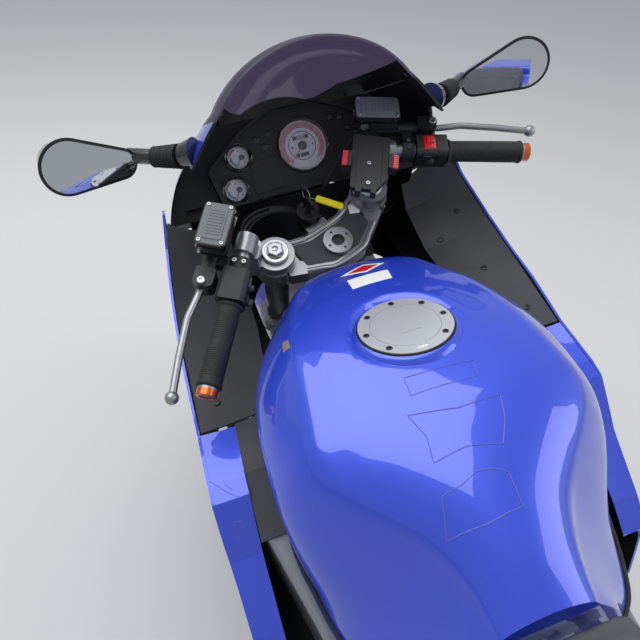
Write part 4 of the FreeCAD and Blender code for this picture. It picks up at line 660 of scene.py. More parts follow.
def rounded_outline(corners: Sequence[tuple[float, float, float]], steps: int = 4) -> np.ndarray:
    """Flat outline with round corners.

    Args:
        corners: x, y and radius of each corner in mm, counter-clockwise.
        steps: facets in each round.

    Returns:
        Points, one row of two numbers each.
    """
    out = []
    count = len(corners)
    for i, (x, y, r) in enumerate(corners):
        p = np.array([x, y], float)
        if r <= 0:
            out.append(p)
            continue
        u = unit(np.array(corners[i - 1][:2], float) - p)
        w = unit(np.array(corners[(i + 1) % count][:2], float) - p)
        half = math.acos(float(np.clip(u @ w, -1, 1))) / 2
        centre = p + unit(u + w) * (r / math.sin(half))
        reach = r / math.tan(half)
        a, b = p + u * reach - centre, p + w * reach - centre
        start = math.atan2(a[1], a[0])
        swing = math.atan2(a[0] * b[1] - a[1] * b[0], float(a @ b))
        out += [centre + r * np.array([math.cos(start + swing * k / steps),
                                       math.sin(start + swing * k / steps)])
                for k in range(steps + 1)]
    return np.array(out)


def plate(axes: Axes, outline: np.ndarray, low: float, high: float, edge: float = 0.0) -> Shape:
    """Flat piece with an outline, its upper edge broken by a small slope.

    Args:
        axes: frame whose third axis is the thickness.
        outline: points in mm, counter-clockwise.
        low: level of its lower face, mm.
        high: level of its upper face, mm.
        edge: width of the slope round the top, mm.

    Returns:
        The skin.
    """
    centre = outline.mean(0)
    away = outline - centre
    length = np.linalg.norm(away, axis=1)[:, None]
    inset = outline - away / length * edge
    levels = [(outline, low), (outline, high)]
    if edge:
        levels = [(outline, low), (outline, high - edge), (inset, high)]
    count = len(outline)
    table = np.array([[(x, y, z) for x, y in ring] for ring, z in levels])
    shape = grid(axes.points(table), wrap_v=True).turned_out()
    shape.faces.append(tuple(reversed(range(count))))
    shape.faces.append(tuple(range((len(levels) - 1) * count, len(levels) * count)))
    return shape


def brick(axes: Axes, x: tuple[float, float], y: tuple[float, float], z: tuple[float, float],
          edge: float = 0.0) -> Shape:
    """Box between ends given in mm on each axis of a frame."""
    outline = np.array([(x[0], y[0]), (x[1], y[0]), (x[1], y[1]), (x[0], y[1])], float)
    return plate(axes, outline, z[0], z[1], edge)


def socket_screw(axes: Axes, r: float, height: float) -> Shape:
    """Cap screw with a hexagon socket: side, broken edge, top and the socket's walls and floor."""
    hexagon = [(0.55 * r * math.cos(a), 0.55 * r * math.sin(a)) for a in np.linspace(0, 2 * math.pi, 7)[:-1]]
    body = turned(axes, [(r, 0), (r, height * 0.85), (r * 0.9, height), (r * 0.62, height)], 18, ends=False)
    well = plate(axes, np.array(hexagon), height * 0.35, height - 0.02)
    walls = [f for f in well.turned_out().faces if len(f) == 4]
    floor_face = [tuple(range(6))]
    cover = turned(axes, [(r * 0.62, height), (r * 0.5, height - 0.02)], 6, ends=False)
    return join([body, cover, Shape(well.verts, walls + floor_face)])


def torus(axes: Axes, ring: float, r: float, sides: int = 40, facets: int = 10) -> Shape:
    """Round ring about the third axis of a frame."""
    angles = np.linspace(0, 2 * math.pi, sides, endpoint=False)
    path = axes.points([(ring * math.cos(a), ring * math.sin(a), 0) for a in angles])
    return sweep(path, r, facets, closed=True)


def tube(rows: np.ndarray) -> Shape:
    """Skin through rows of closed sections, shut by one face at either end."""
    shape = grid(rows, wrap_v=True)
    count, last = rows.shape[1], (rows.shape[0] - 1) * rows.shape[1]
    shape.faces += [tuple(range(count)), tuple(last + i for i in reversed(range(count)))]
    return shape


def tree_of(mesh: bpy.types.Mesh) -> BVHTree:
    """Search tree over a mesh's faces."""
    return BVHTree.FromPolygons([v.co for v in mesh.vertices], [p.vertices for p in mesh.polygons])


def show(name: str, shapes: Sequence[Shape] | Shape, look: Look, body: str, crease: float | None = 35.0,
         replaces: Sequence[str] = ()) -> bpy.types.Object:
    """Put a skin in the scene, riding on a body.

    Args:
        name: the piece's name.
        shapes: one skin or several.
        look: its finish.
        body: the CAD body it moves with.
        crease: angle in degrees above which an edge stays sharp, or None for flat faces.
        replaces: CAD nodes it stands for.

    Returns:
        The new object.
    """
    shape = shapes if isinstance(shapes, Shape) else join(shapes)
    obj = new_mesh(name, shape.verts, shape.faces, look)
    if crease is not None:
        obj.data.shade_smooth()
        obj.data.set_sharp_from_angle(angle=math.radians(crease))
    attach(obj, body)
    if replaces:
        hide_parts(*replaces)
    LOG.info("%s: %d faces on %s", name, len(shape.faces), body)
    return obj


def mirrored(axes: Axes, shape: Shape) -> Shape:
    """Mirror image of a skin across the plane normal to a frame's first axis."""
    offset = (shape.verts - axes.origin) @ axes.x
    return Shape(shape.verts - 2 * np.outer(offset, axes.x), [tuple(reversed(f)) for f in shape.faces])


def both_sides(axes: Axes, shape: Shape) -> Shape:
    """A skin and its mirror image."""
    return join([shape, mirrored(axes, shape)])


# Sub-assemblies


@dataclass
class SubAssembly:
    """Pieces that go together and ride on one body.

    Attributes:
        machine: the machine's frames.
        body: the CAD body they move with.
    """

    machine: Machine
    body: str

    def build(self) -> None:
        """Put every piece of the sub-assembly in the scene."""
        raise NotImplementedError

    def show(self, name: str, shapes: Sequence[Shape] | Shape, look: Look, crease: float | None = 35.0,
             replaces: Sequence[str] = ()) -> bpy.types.Object:
        """Show a piece on this sub-assembly's body."""
        return show(name, shapes, look, self.body, crease, replaces)


DIGITS: dict[str, tuple[tuple[tuple[float, float], ...], ...]] = {
    "0": (((0, 0), (1, 0), (1, 2), (0, 2), (0, 0)),),
    "1": (((0.6, 0), (0.6, 2), (0.2, 1.6)),),
    "2": (((0, 2), (1, 2), (1, 1), (0, 1), (0, 0), (1, 0)),),
    "3": (((0, 2), (1, 2), (1, 0), (0, 0)), ((0, 1), (1, 1))),
    "4": (((0, 2), (0, 1), (1, 1)), ((1, 2), (1, 0))),
    "5": (((1, 2), (0, 2), (0, 1), (1, 1), (1, 0), (0, 0)),),
    "6": (((1, 2), (0, 2), (0, 0), (1, 0), (1, 1), (0, 1)),),
    "7": (((0, 2), (1, 2), (0.5, 0)),),
    "8": (((0, 0), (1, 0), (1, 2), (0, 2), (0, 0)), ((0, 1), (1, 1))),
    "9": (((1, 1), (0, 1), (0, 2), (1, 2), (1, 0), (0, 0)),),
}


def numeral(axes: Axes, text: str, at: tuple[float, float], height: float, level: float) -> list[Shape]:
    """Strokes of a number, as thin bars on a dial.

    Args:
        axes: the dial's frame.
        text: digits to draw.
        at: middle of the number, mm.
        height: height of a digit, mm.
        level: height of the print over the frame's plane, mm.

    Returns:
        One skin a stroke.
    """
    unit_size = height / 2
    width = len(text) * unit_size * 1.5 - unit_size * 0.5
    strokes = []
    thick = height * 0.09
    for k, digit in enumerate(text):
        x0 = at[0] - width / 2 + k * unit_size * 1.5
        for line in DIGITS[digit]:
            for (ax, ay), (bx, by) in zip(line, line[1:]):
                a = np.array([x0 + ax * unit_size, at[1] + (ay - 1) * unit_size])
                b = np.array([x0 + bx * unit_size, at[1] + (by - 1) * unit_size])
                way = unit(b - a)
                side = np.array([-way[1], way[0]]) * thick
                a, b = a - way * thick, b + way * thick
                quad = np.array([a - side, b - side, b + side, a + side])
                strokes.append(plate(axes, quad, level, level + 0.08))
    return strokes


def annulus(axes: Axes, centre: tuple[float, float], r1: float, r2: float, level: float, start: float = 0.0,
            end: float = 360.0, thick: float = 0.08) -> Shape:
    """Flat band between two radii, over an arc in degrees."""
    steps = max(6, int(abs(end - start) / 6))
    angles = np.radians(np.linspace(start, end, steps + 1))
    table = np.array([[(centre[0] + r * math.cos(a), centre[1] + r * math.sin(a), z)
                       for r, z in ((r1, level), (r1, level + thick), (r2, level + thick), (r2, level))]
                      for a in angles])
    return grid(axes.points(table), wrap_v=True).turned_out()


@dataclass
class Dash(SubAssembly):
    """Dial faces, prints, needles, display and warning lamps in the instrument housing.

    Attributes:
        tilt: slope of the panel from upright, degrees.
        centre: middle of the panel in the bike's frame, mm.
        floor: depth of the dial faces, mm.
    """

    tilt: float = 33.5
    centre: tuple[float, float, float] = (0.0, 1311.0, 965.0)
    floor: float = -5.8

    def build(self) -> None:
        """Make the tachometer with its inner speed dial, two small gauges and the panel's lamps."""
        slope = math.radians(90 - self.tilt)
        self.axes = self.machine.bike.inner(self.centre, (1, 0, 0), (0, math.cos(slope), math.sin(slope)))
        self.faces()
        self.main_dial((4.0, 0.0), 43.3)
        for number, (place, arc_from) in enumerate((((-114.0, 4.0), 100.0), ((-133.0, -49.0), 110.0))):
            self.gauge(number, place, 18.2, arc_from)
        self.lamps()
        self.glasses()

    def faces(self) -> None:
        """White printed discs on the floors of the three wells."""
        discs = []
        for (x, y), r in (((4, 0), 43.3), ((-114, 4), 21.3), ((-133, -49), 21.3)):
            well = self.axes.at((x, y, 0))
            discs.append(turned(well, [(r, -5.95), (r, self.floor)], 48))
        self.show("dial_faces", discs, Look.DIAL)

    def main_dial(self, place: tuple[float, float], r: float) -> None:
        """Tick ring, numbers, the ruled inner dial and both counters of the large instrument."""
        x, y = place
        top = self.floor
        print_level = top + 0.1
        self.show("tacho_band", annulus(self.axes, place, r * 0.72, r * 0.93, top, -40, 220), Look.PINK, None)
        ticks: list[Shape] = []
        for i in range(61):
            a = math.radians(225 - i * 270 / 60)
            inner, width = (0.86, 0.45) if i % 5 == 0 else (0.92, 0.22)
            way, side = np.array([math.cos(a), math.sin(a)]), np.array([-math.sin(a), math.cos(a)]) * width
            p, q = way * r * inner, way * r * 0.975
            quad = np.array([p - side, q - side, q + side, p + side]) + np.array(place)
            ticks.append(plate(self.axes, quad, print_level, print_level + 0.08))
        for i in range(13):
            a = math.radians(225 - i * 270 / 12)
            ticks += numeral(self.axes, str(i), (x + r * 0.78 * math.cos(a), y + r * 0.78 * math.sin(a)), 4.6,
                             print_level)
        self.show("tacho_ticks", ticks, Look.RED, None)
        self.show("speed_ring", annulus(self.axes, place, r * 0.555, r * 0.585, print_level), Look.INK, None)
        levels = (print_level, print_level + 0.2)
        counter = [brick(self.axes, (x + left, x + right), (y + low, y + high), levels, 0.1)
                   for left, right, low, high in ((-14.5, 14.5, 11.5, 18), (-14, -8, -19, -12.5),
                                                  (-6.6, 9, -19, -12.5))]
        self.show("counters", counter, Look.INK, None)
        digits = numeral(self.axes, "00000", (x, y + 14.7), 4.2, print_level + 0.25)
        self.show("counter_digits", digits, Look.DIAL, None)
        hub = self.axes.at((x, y, 0))
        marks = [turned(self.axes.at((x + dx, y, 0)),
                        [(1.7, print_level), (1.5, print_level + 0.5)], 14) for dx in (-19, 19)]
        hubs = [turned(hub, [(8, print_level), (8, top + 3), (6.6, top + 3.8)], 28)]
        self.show("tacho_hub", hubs + marks, Look.INK)
        angle = math.radians(225)
        way = np.array([math.cos(angle), math.sin(angle)])
        side = np.array([-way[1], way[0]])
        quad = np.array([place + way * -9 - side * 1.2, place + way * r * 0.88 - side * 0.4,
                         place + way * r * 0.88 + side * 0.4, place - way * 9 + side * 1.2])
        self.show("tacho_needle", plate(self.axes, quad, top + 3.1, top + 3.7), Look.RED, None)

    def gauge(self, number: int, place: tuple[float, float], r: float, start: float) -> None:
        """Small gauge: red and blue arcs, ticks, an off-centre hub and its needle."""
        top = self.floor
        level = top + 0.1
        red = annulus(self.axes, place, r * 0.76, r * 0.95, level, start, start + 60)
        self.show(f"gauge_red_{number}", red, Look.RED, None)
        blue = annulus(self.axes, place, r * 0.6, r * 0.78, level, start + 66, start + 150)
        self.show(f"gauge_blue_{number}", blue, Look.BLUE_INK, None)
        ticks = []
        for i in range(9):
            a = math.radians(start + i * 22)
            way, side = np.array([math.cos(a), math.sin(a)]), np.array([-math.sin(a), math.cos(a)]) * 0.3
            p, q = way * r * 0.74, way * r * 0.96
            quad = np.array([p - side, q - side, q + side, p + side]) + np.array(place)
            ticks.append(plate(self.axes, quad, level + 0.1, level + 0.2))
        x, y = place
        hub = self.axes.at((x + r * 0.38, y + r * 0.02, 0))
        ticks.append(turned(hub, [(5.0, level), (5.0, top + 2.4), (4.0, top + 3)], 20))
        for dx, dy in ((0.55, -0.5), (0.12, 0.66)):
            dot = self.axes.at((x + r * dx, y + r * dy, 0))
            ticks.append(turned(dot, [(1.3, level), (1.1, level + 0.5)], 12))
        a = math.radians(start + 130)
        way = np.array([math.cos(a), math.sin(a)])
        side = np.array([-way[1], way[0]]) * 0.7
        root = np.array([x + r * 0.38, y + r * 0.02])
        tip = root + way * r * 1.05
        quad = np.array([root - side, tip - side * 0.4, tip + side * 0.4, root + side])
        ticks.append(plate(self.axes, quad, top + 2.5, top + 2.9))
        self.show(f"gauge_print_{number}", ticks, Look.INK, None)

    def lamps(self) -> None:
        """Round tell-tales, the clock display and its frame."""
        rings, lenses = [], []
        for x, y in ((-76, 27), (-52, 33), (-64, 12), (66, 36), (83, 32), (92, 12)):
            spot = self.axes.at((x, y, 0))
            rings.append(turned(spot, [(5.6, 0), (5.6, 1.4), (4.4, 1.6), (4.2, 0.6)], 20, ends=False))
            lenses.append(turned(spot, [(4.2, 0.1), (4.2, 0.8), (2.4, 1.3)], 16))
        self.show("telltale_rings", rings, Look.PIANO)
        self.show("telltale_lenses", lenses, Look.GREY)
        glass = brick(self.axes, (-91.5, -54.5), (-35.5, -14.5), (-3, -1.4))
        self.show("clock_display", glass, Look.INK, None)
        segments = brick(self.axes, (-86, -60), (-29, -20), (-1.4, -1.2))
        self.show("clock_segments", segments, Look.DISPLAY, None)
        outline = rounded_outline([(-100, -66, 5), (-44, -62, 5), (-46, -6, 6), (-98, -8, 6)], 5)
        self.show("clock_pad", plate(self.axes, outline, 0.0, 1.2, 0.8), Look.BLACK, 30)

    def glasses(self) -> None:
        """Clear lenses over the dials, seated just inside their rims."""
        lenses = []
        for (x, y), r in (((4, 0), 43.2), ((-114, 4), 18.4), ((-133, -49), 18.4)):
            well = self.axes.at((x, y, 0))
            lenses.append(turned(well, [(r, 1.2), (r, 1.8), (r * 0.6, 2.4), (0.01, 2.6)], 48, ends=False))
        self.show("dial_glasses", lenses, Look.LENS)
        rims = [torus(self.axes.at((x, y, 4)), r + 1.6, 1.5, 48, 8)
                for (x, y), r in (((4, 0), 43.5), ((-114, 4), 21.5), ((-133, -49), 21.5))]
        for x, y in ((-114, 4), (-133, -49)):
            rims.append(turned(self.axes.at((x, y, 0)),
                               [(22.5, 3.6), (20.6, 4.6), (18.8, 3.4), (18.4, -5.7)], 48, ends=False))
        self.show("dial_rims", rims, Look.PIANO)


@dataclass
class FuelCapTrim(SubAssembly):
    """Screws round the filler flange.

    Attributes:
        y: middle of the cap along the bike, mm.
        z: its height, mm.
        tilt: slope of the cap to the front, degrees.
        top: height of the screws' seats over the cap's plane, mm.
    """

    y: float = 861.0
    z: float = 907.0
    tilt: float = 8.8
    top: float = 2.4

    def build(self) -> None:
        """Seven socket screws in countersinks, an eighth place taken by the hinge."""
        slope = math.radians(self.tilt)
        axes = self.machine.bike.inner((0, self.y, self.z), (1, 0, 0), (0, math.cos(slope), -math.sin(slope)))
        screws, rings = [], []
        for angle in (-45, 0, 42, 87, 135, 180, 225):
            a = math.radians(angle)
            spot = axes.at((53.8 * math.cos(a), 53.8 * math.sin(a), self.top))
            screws.append(socket_screw(spot, 3.3, 0.9))
            rings.append(annulus(spot, (0, 0), 3.4, 4.6, 0.0, 0, 360, 0.25))
        self.show("filler_screws", screws, Look.ENAMEL)
        self.show("filler_screw_washers", rings, Look.STEEL)
        self.show("filler_seal", torus(axes.at((0, 0, 0.4)), 62.6, 1.3, 64, 8), Look.RUBBER)


@dataclass
class TankSkin(SubAssembly):
    """Pressed shell of the fuel tank with its knee recesses, filler boss, neck and edge rubber.

    Along the bike and round each section a span between two given points is the cubic of curve(). The crown of
    a section falls from its top to the shoulder, then the side passes the flank to the base.

    Attributes:
        sections: y, crown z, shoulder x and z, flank x and z, base x and z, from the nose to the seat, mm.
        cap: y, z and forward slope in degrees of the filler's plane.
        sink: depth of the flat seat under it, mm.
    """

    sections: tuple[tuple[float, ...], ...] = (
        (1082, 848, 34, 845, 50, 836, 54, 830), (1078, 858, 58, 851, 74, 836, 76, 826),
        (1064, 868, 82, 856, 100, 834, 98, 824), (1040, 878, 102, 862, 124, 828, 112, 800),
        (1015, 885, 118, 863, 144, 824, 122, 788), (992, 890, 128, 866, 160, 823, 130, 776),
        (945, 898, 148, 873, 189, 823, 168, 762),
        (890, 905, 158, 880, 209, 822, 190, 744), (845, 909, 164, 882, 217, 818, 199, 735),
        (800, 910, 168, 880, 220, 812, 206, 722), (745, 907, 176, 868, 220, 796, 212, 706),
        (710, 901, 172, 853, 214, 776, 210, 690), (680, 894, 154, 840, 202, 756, 204, 678),
        (645, 884, 126, 822, 180, 734, 197, 664), (610, 871, 98, 806, 156, 716, 187, 656),
        (575, 855, 78, 800, 134, 712, 172, 654), (545, 838, 68, 794, 114, 722, 150, 664),
        (517, 820, 62, 788, 98, 738, 112, 690))
    cap: tuple[float, float, float] = (861.0, 907.0, 8.8)
    sink: float = 9.0

    def build(self) -> None:
        """Loft the shell, open it under the filler, and add the boss, the neck and the rubber."""
        bike = self.machine.bike
        rows = np.array([self.ring(*row) for row in self.sections])
        net = np.array([curve(rows[:, j], 7) for j in range(rows.shape[1])]).transpose(1, 0, 2)
        table = np.array([curve(row, 8, closed=True) for row in net])
        shape = tube(self.settled(table))
        axes = self.filler()
        local = axes.local(shape.verts)
        inside = (np.hypot(local[:, 0], local[:, 1]) < 36) & (local[:, 2] > -30)
        shape.faces = [f for f in shape.faces if not all(inside[i] for i in f)]
        self.show("tank_shell", shape, Look.BLUE, 40, ("fuel_tank",))
        boss = turned(axes, [(84, -34), (78, -19), (73, -8.5), (69.5, -3.2), (66.6, -0.8), (64.6, -0.4),
                             (63.8, -1.4), (63.6, -8)], 72, False)
        self.show("filler_boss", boss, Look.BLUE, 50)
        neck = turned(axes, [(46, -8.6), (27, -8.6), (26, -9.6), (26, -70), (0.5, -70)], 48, False)
        self.show("filler_neck", neck, Look.STEEL, 40)
        side = bike.points(curve(rows[:, 5], 7)[7:] + np.array([2.5, 0, -1.5]))
        self.show("tank_edge_rubber", both_sides(bike, sweep(side, 3.6, 10)), Look.RUBBER)

    def filler(self) -> Axes:
        """Frame of the filler: its third axis stands on the cap's plane."""
        y, z, slope = self.cap[0], self.cap[1], math.radians(self.cap[2])
        return self.machine.bike.inner((0, y, z), (1, 0, 0), (0, math.cos(slope), -math.sin(slope)))

    @staticmethod
    def ring(y: float, top: float, sx: float, sz: float, fx: float, fz: float, bx: float,
             bz: float) -> list[tuple[float, float, float]]:
        """Closed run of fourteen points of one section, from the crown down the right side and back up."""
        drop = top - sz
        half = [(0.45 * sx, top - 0.15 * drop), (0.79 * sx, top - 0.49 * drop), (sx, sz), (fx, fz), (bx, bz),
                (bx - 12, bz - 6)]
        right = [(x, y, z) for x, z in half]
        return [(0, y, top), *right, (0, y, bz - 6), *[(-x, y, z) for x, y, z in reversed(right)]]

    def settled(self, table: np.ndarray) -> np.ndarray:
        """Shell points in the row frame, pressed down in a flat seat where the filler's flange lies."""
        axes = self.filler()
        points = self.machine.bike.points(table)
        local = axes.local(points)
        reach = np.hypot(local[..., 0], local[..., 1])
        share = np.clip((72 - reach) / 8, 0, 1)
        push = np.where(local[..., 2] > -self.sink, (-self.sink - local[..., 2]) * share, 0)
        return points + push[..., None] * axes.z * MM


@dataclass
class OnTank:
    """The tank's upper surface, found by looking down on it.

    Attributes:
        machine: the machine's frames.
    """

    machine: Machine
    tree: BVHTree = field(init=False)

    def __post_init__(self) -> None:
        """Index the tank's faces."""
        self.tree = tree_of(bpy.data.objects["tank_shell"].data)

    def drop(self, x: float, y: float) -> tuple[np.ndarray, np.ndarray]:
        """Point and outward normal of the tank under a place given in the bike's frame, mm."""
        bike = self.machine.bike
        start = Vector(bike.point(x, y, OVERHEAD))
        hit, normal, _, _ = self.tree.ray_cast(start, Vector(-bike.z), 0.8)
        if hit is None:
            raise ValueError(f"the tank isn't under {x:g}, {y:g}")
        out = np.array(normal)
        return np.array(hit), out if out @ bike.z > 0 else -out

    def patch(self, corners: Sequence[tuple[float, float]], lift: float, cells: int = 14) -> Shape:
        """Thin film on the tank between four corners, curved with it.

        Args:
            corners: x and y of the four corners, counter-clockwise from above.
            lift: its thickness, mm.
            cells: quads along each side.
        """
        a, b, c, d = (np.array(p, float) for p in corners)
        top, low = [], []
        for s in np.linspace(0, 1, cells + 1):
            left, right = a + (d - a) * s, b + (c - b) * s
            row_top, row_low = [], []
            for t in np.linspace(0, 1, cells + 1):
                p, n = self.drop(*(left + (right - left) * t))
                row_top.append(p + n * lift * MM)
                row_low.append(p + n * 0.02 * MM)
            top.append(row_top)
            low.append(row_low)
        upper, lower = np.array(top), np.array(low)
        skin = grid(upper).turned_out()
        rim_top = np.concatenate([upper[0, :-1], upper[:-1, -1], upper[-1, :0:-1], upper[:0:-1, 0]])
        rim_low = np.concatenate([lower[0, :-1], lower[:-1, -1], lower[-1, :0:-1], lower[:0:-1, 0]])
        wall = grid(np.array([rim_low, rim_top]), wrap_v=True).turned_out()
        return join([skin, wall])

    def bead(self, outline: Sequence[tuple[float, float]], r: float) -> Shape:
        """Fine raised line on the tank along a closed outline."""
        pts = []
        closed = list(outline) + [outline[0]]
        for p, q in zip(closed, closed[1:]):
            p, q = np.array(p, float), np.array(q, float)
            for t in np.linspace(0, 1, 12, endpoint=False):
                hit, n = self.drop(*(p + (q - p) * t))
                pts.append(hit + n * r * 0.3 * MM)
        return sweep(np.array(pts), r, 6, closed=True)


@dataclass
class TankTrim(SubAssembly):
    """Edge lines of clear film patches on the tank, a blank label and the worn place on the shoulder."""

    def build(self) -> None:
        """Lay the edge lines of the three films, the label and the scuff on the tank."""
        tank = OnTank(self.machine)
        films = [
            [(-42, 752), (42, 750), (49, 773), (-39, 778)],
            [(-52, 672), (-47, 700), (-56, 730), (0, 718), (54, 720), (44, 692), (27, 666), (-12, 675)],
            [(-68, 607), (-62, 626), (-58, 641), (-34, 642), (-15, 648), (4, 645), (17, 637), (15, 604), (-26, 601)],
        ]
        beads = [tank.bead(outline, 0.55) for outline in films]
        self.show("film_edges", beads, Look.FILM_EDGE)
        for name, corners, lift, look in (
                ("blank_label", [(-30, 977), (32, 978), (36, 1006), (-29, 1006)], 0.35, Look.LABEL),
                ("rhombus_rim", [(-33, 1025), (6, 1015), (42, 1033), (12, 1046)], 0.3, Look.LABEL),
                ("rhombus_field", [(-21, 1026), (6, 1019), (31, 1032), (10, 1041)], 0.5, Look.RED)):
            self.show(name, tank.patch(corners, lift), look)
        self.show("shoulder_scuff", tank.patch([(-156, 908), (-146, 905), (-144, 924), (-152, 930)], 0.12, 6),
                  Look.SCUFF)


@dataclass
class Bars(SubAssembly):
    """Grip sleeves, bar-end rings and what is screwed to the bars.

    Attributes:
        start: inner end of the right grip in the fork's frame, mm.
        way: direction of the bar there.
        length: length of the grip, mm.
    """

    start: tuple[float, float, float] = (226.0, -12.0, 71.0)
    way: tuple[float, float, float] = (96.0, -79.0, 0.0)
    length: float = 124.3

    def build(self) -> None:
        """Make both sides in the bar's own frame."""
        fork = self.machine.fork
        across = (self.way[1] * -1, self.way[0], 0.0)
        self.bar = fork.inner(self.start, self.way, across)
        self.spindle = fork.inner(self.start, (0, 0, 1), (-across[0], -across[1], 0))
        self.sleeves()
        self.ends()
        self.reservoirs()
        self.pods()

    def along(self, s: float) -> Axes:
        """Frame on the bar's centre line at s mm from the grip's inner end, its third axis outward."""
        return self.bar.inner((s, 0, 0), (0, 1, 0), (0, 0, 1))

    def sleeves(self) -> None:
        """Moulded grips: a flange, a waist, rings of fine ribs between smooth bands, and an end bead."""
        steps, sides = 250, 36
        s = np.linspace(0, self.length, steps)
        radius = 16.6 + 0.5 * (s / self.length)
        radius += 3.0 * np.clip(1 - s / 5.0, 0, 1) ** 0.5
        ribs = 0.55 * np.maximum(0, np.sin(s * 2 * math.pi / 3.2)) ** 0.6
        band = ((s > 14) & (s < 58)) | ((s > 70) & (s < 112))
        radius += np.where(band, ribs, 0.2)
        radius += 1.4 * np.exp(-((s - self.length + 2.4) / 2.4) ** 2)
        angles = np.linspace(0, 2 * math.pi, sides, endpoint=False)
        table = np.zeros((sides, steps, 3))
        lengthwise = 1.0 + 0.012 * np.cos(angles * 6)
        for i, a in enumerate(angles):
            r = radius * np.where(band, lengthwise[i], 1.0)
            table[i, :, 0] = s
            table[i, :, 1] = r * math.cos(a)
            table[i, :, 2] = r * math.sin(a)
        sleeve = grid(self.bar.points(table), wrap_u=True)
        cols = steps
        sleeve.faces.append(tuple(i * cols for i in reversed(range(sides))))
        sleeve.faces.append(tuple(i * cols + cols - 1 for i in range(sides)))
        self.show("grip_sleeves", both_sides(self.machine.fork, sleeve), Look.RUBBER, 50, ("grips",))

    def ends(self) -> None:
        """Anodised ring and dark centre screw in the end of each bar."""
        far = self.length + 13.0
        end = self.along(far)
        ring = turned(end, [(14.6, -9), (14.7, 0), (13.8, 1.2), (10.2, 1.2), (9.6, 0.1)], 36, ends=False)
        self.show("bar_end_rings", both_sides(self.machine.fork, ring), Look.ORANGE)
        centre = turned(end, [(9.7, 0.05), (9.2, 0.5), (4.2, 0.6), (3.4, -0.4), (0.01, -0.5)], 28, ends=False)
        self.show("bar_end_centres", both_sides(self.machine.fork, centre), Look.INK)

    def reservoirs(self) -> None:
        """Raised lid panel, screws, ribs and sight glass of both reservoirs, and the lever pivots' bolts."""
        fork = self.machine.fork
        for side, cx, cy in (("right", -121, 39), ("left", -98, 39)):
            def placed(shape: Shape) -> Shape:
                """The skin on the side that is being built."""
                return shape if side == "right" else mirrored(fork, shape)
            lid = []
            for w, h, r, low, high, edge in ((35, 21, 6, 57, 58.2, 0.8), (27, 14, 4, 58.2, 59.6, 1.0)):
                corners = [(cx - w, cy - h, r), (cx + w, cy - h, r), (cx + w, cy + h, r), (cx - w, cy + h, r)]
                lid.append(plate(self.bar, rounded_outline(corners), low, high, edge))
            bars = [brick(self.bar, (cx + k - 1.4, cx + k + 1.4), (cy - 11, cy + 11), (59.6, 60.4), 0.6)
                    for k in range(-22, 23, 5)]
            self.show(f"lid_{side}", placed(join(lid + bars)), Look.LID, 30)
            screws = [socket_screw(self.bar.at((cx + dx, cy + dy, 58.2)), 3.0, 1.8)
                      for dx in (-30.5, 30.5) for dy in (-16.5, 16.5)]
            self.show(f"lid_screws_{side}", placed(join(screws)), Look.STEEL)
            ribs = [brick(self.bar, (cx - 35.5, cx + 35.5), (cy - 22, cy + 22), (z, z + 1.2))
                    for z in (28.0, 45.0)]
            self.show(f"pot_ribs_{side}", placed(join(ribs)), Look.PIANO, None)
            glass = self.bar.inner((cx - 20, cy - 22.2, 37), (1, 0, 0), (0, 0, 1))
            sight = turned(glass, [(6.6, -0.5), (6.6, 0.6), (5.0, 0.9), (4.6, 0.3), (0.01, 0.4)], 24, False)
            self.show(f"sight_glass_{side}", placed(sight), Look.LENS)
        pivot = self.bar.at((-24, 46, 19))
        bolt = turned(pivot, [(6.2, 0), (6.2, 3.4), (5.2, 4.2), (2.6, 4.2), (2.4, 2.6), (0.01, 2.5)],
                      24, False)
        clamp_bolts = [socket_screw(self.bar.at((-66.5, dy, 17)), 3.6, 4.0) for dy in (-7, 7)]
        self.show("pivot_bolts", both_sides(fork, join([bolt] + clamp_bolts)), Look.STEEL)

    def pods(self) -> None:
        """Switches on the pods and their seam; the right one carries the red stop switch."""
        fork = self.machine.fork
        seam = [brick(self.bar, (-54.3, -2.7), (-21.4, 22.4), (-0.4, 0.4))]
        self.show("pod_seams", both_sides(fork, join(seam)), Look.INK, None)
        stop = [brick(self.bar, (-43, -23), (-14, 13), (19.5, 24), 2.0),
                brick(self.bar, (-39, -27), (-4, 10), (24, 27), 1.5)]
        self.show("stop_switch", stop, Look.RED, 30)
        starter = turned(self.bar.inner((-30, -20.5, 2), (1, 0, 0), (0, 0, 1)),
                         [(6, 0), (6, 3.4), (4.8, 4.2)], 22)
        self.show("starter_button", starter, Look.GREY)
        wheel = [brick(self.bar, (-46, -12), (-15, 15), (19.6, 21.6), 1.4)]
        self.show("dip_switch", mirrored(fork, join(wheel)), Look.PIANO, 30)
        knob = self.bar.inner((-32, -20.5, 6), (1, 0, 0), (0, 0, 1))
        knobs = join([turned(knob, [(5, 0), (5, 7), (3.5, 9)], 20),
                      brick(self.bar, (-20, -10), (-30, -20), (-12, -4), 1.5)])
        self.show("indicator_knob", mirrored(fork, knobs), Look.GREY)


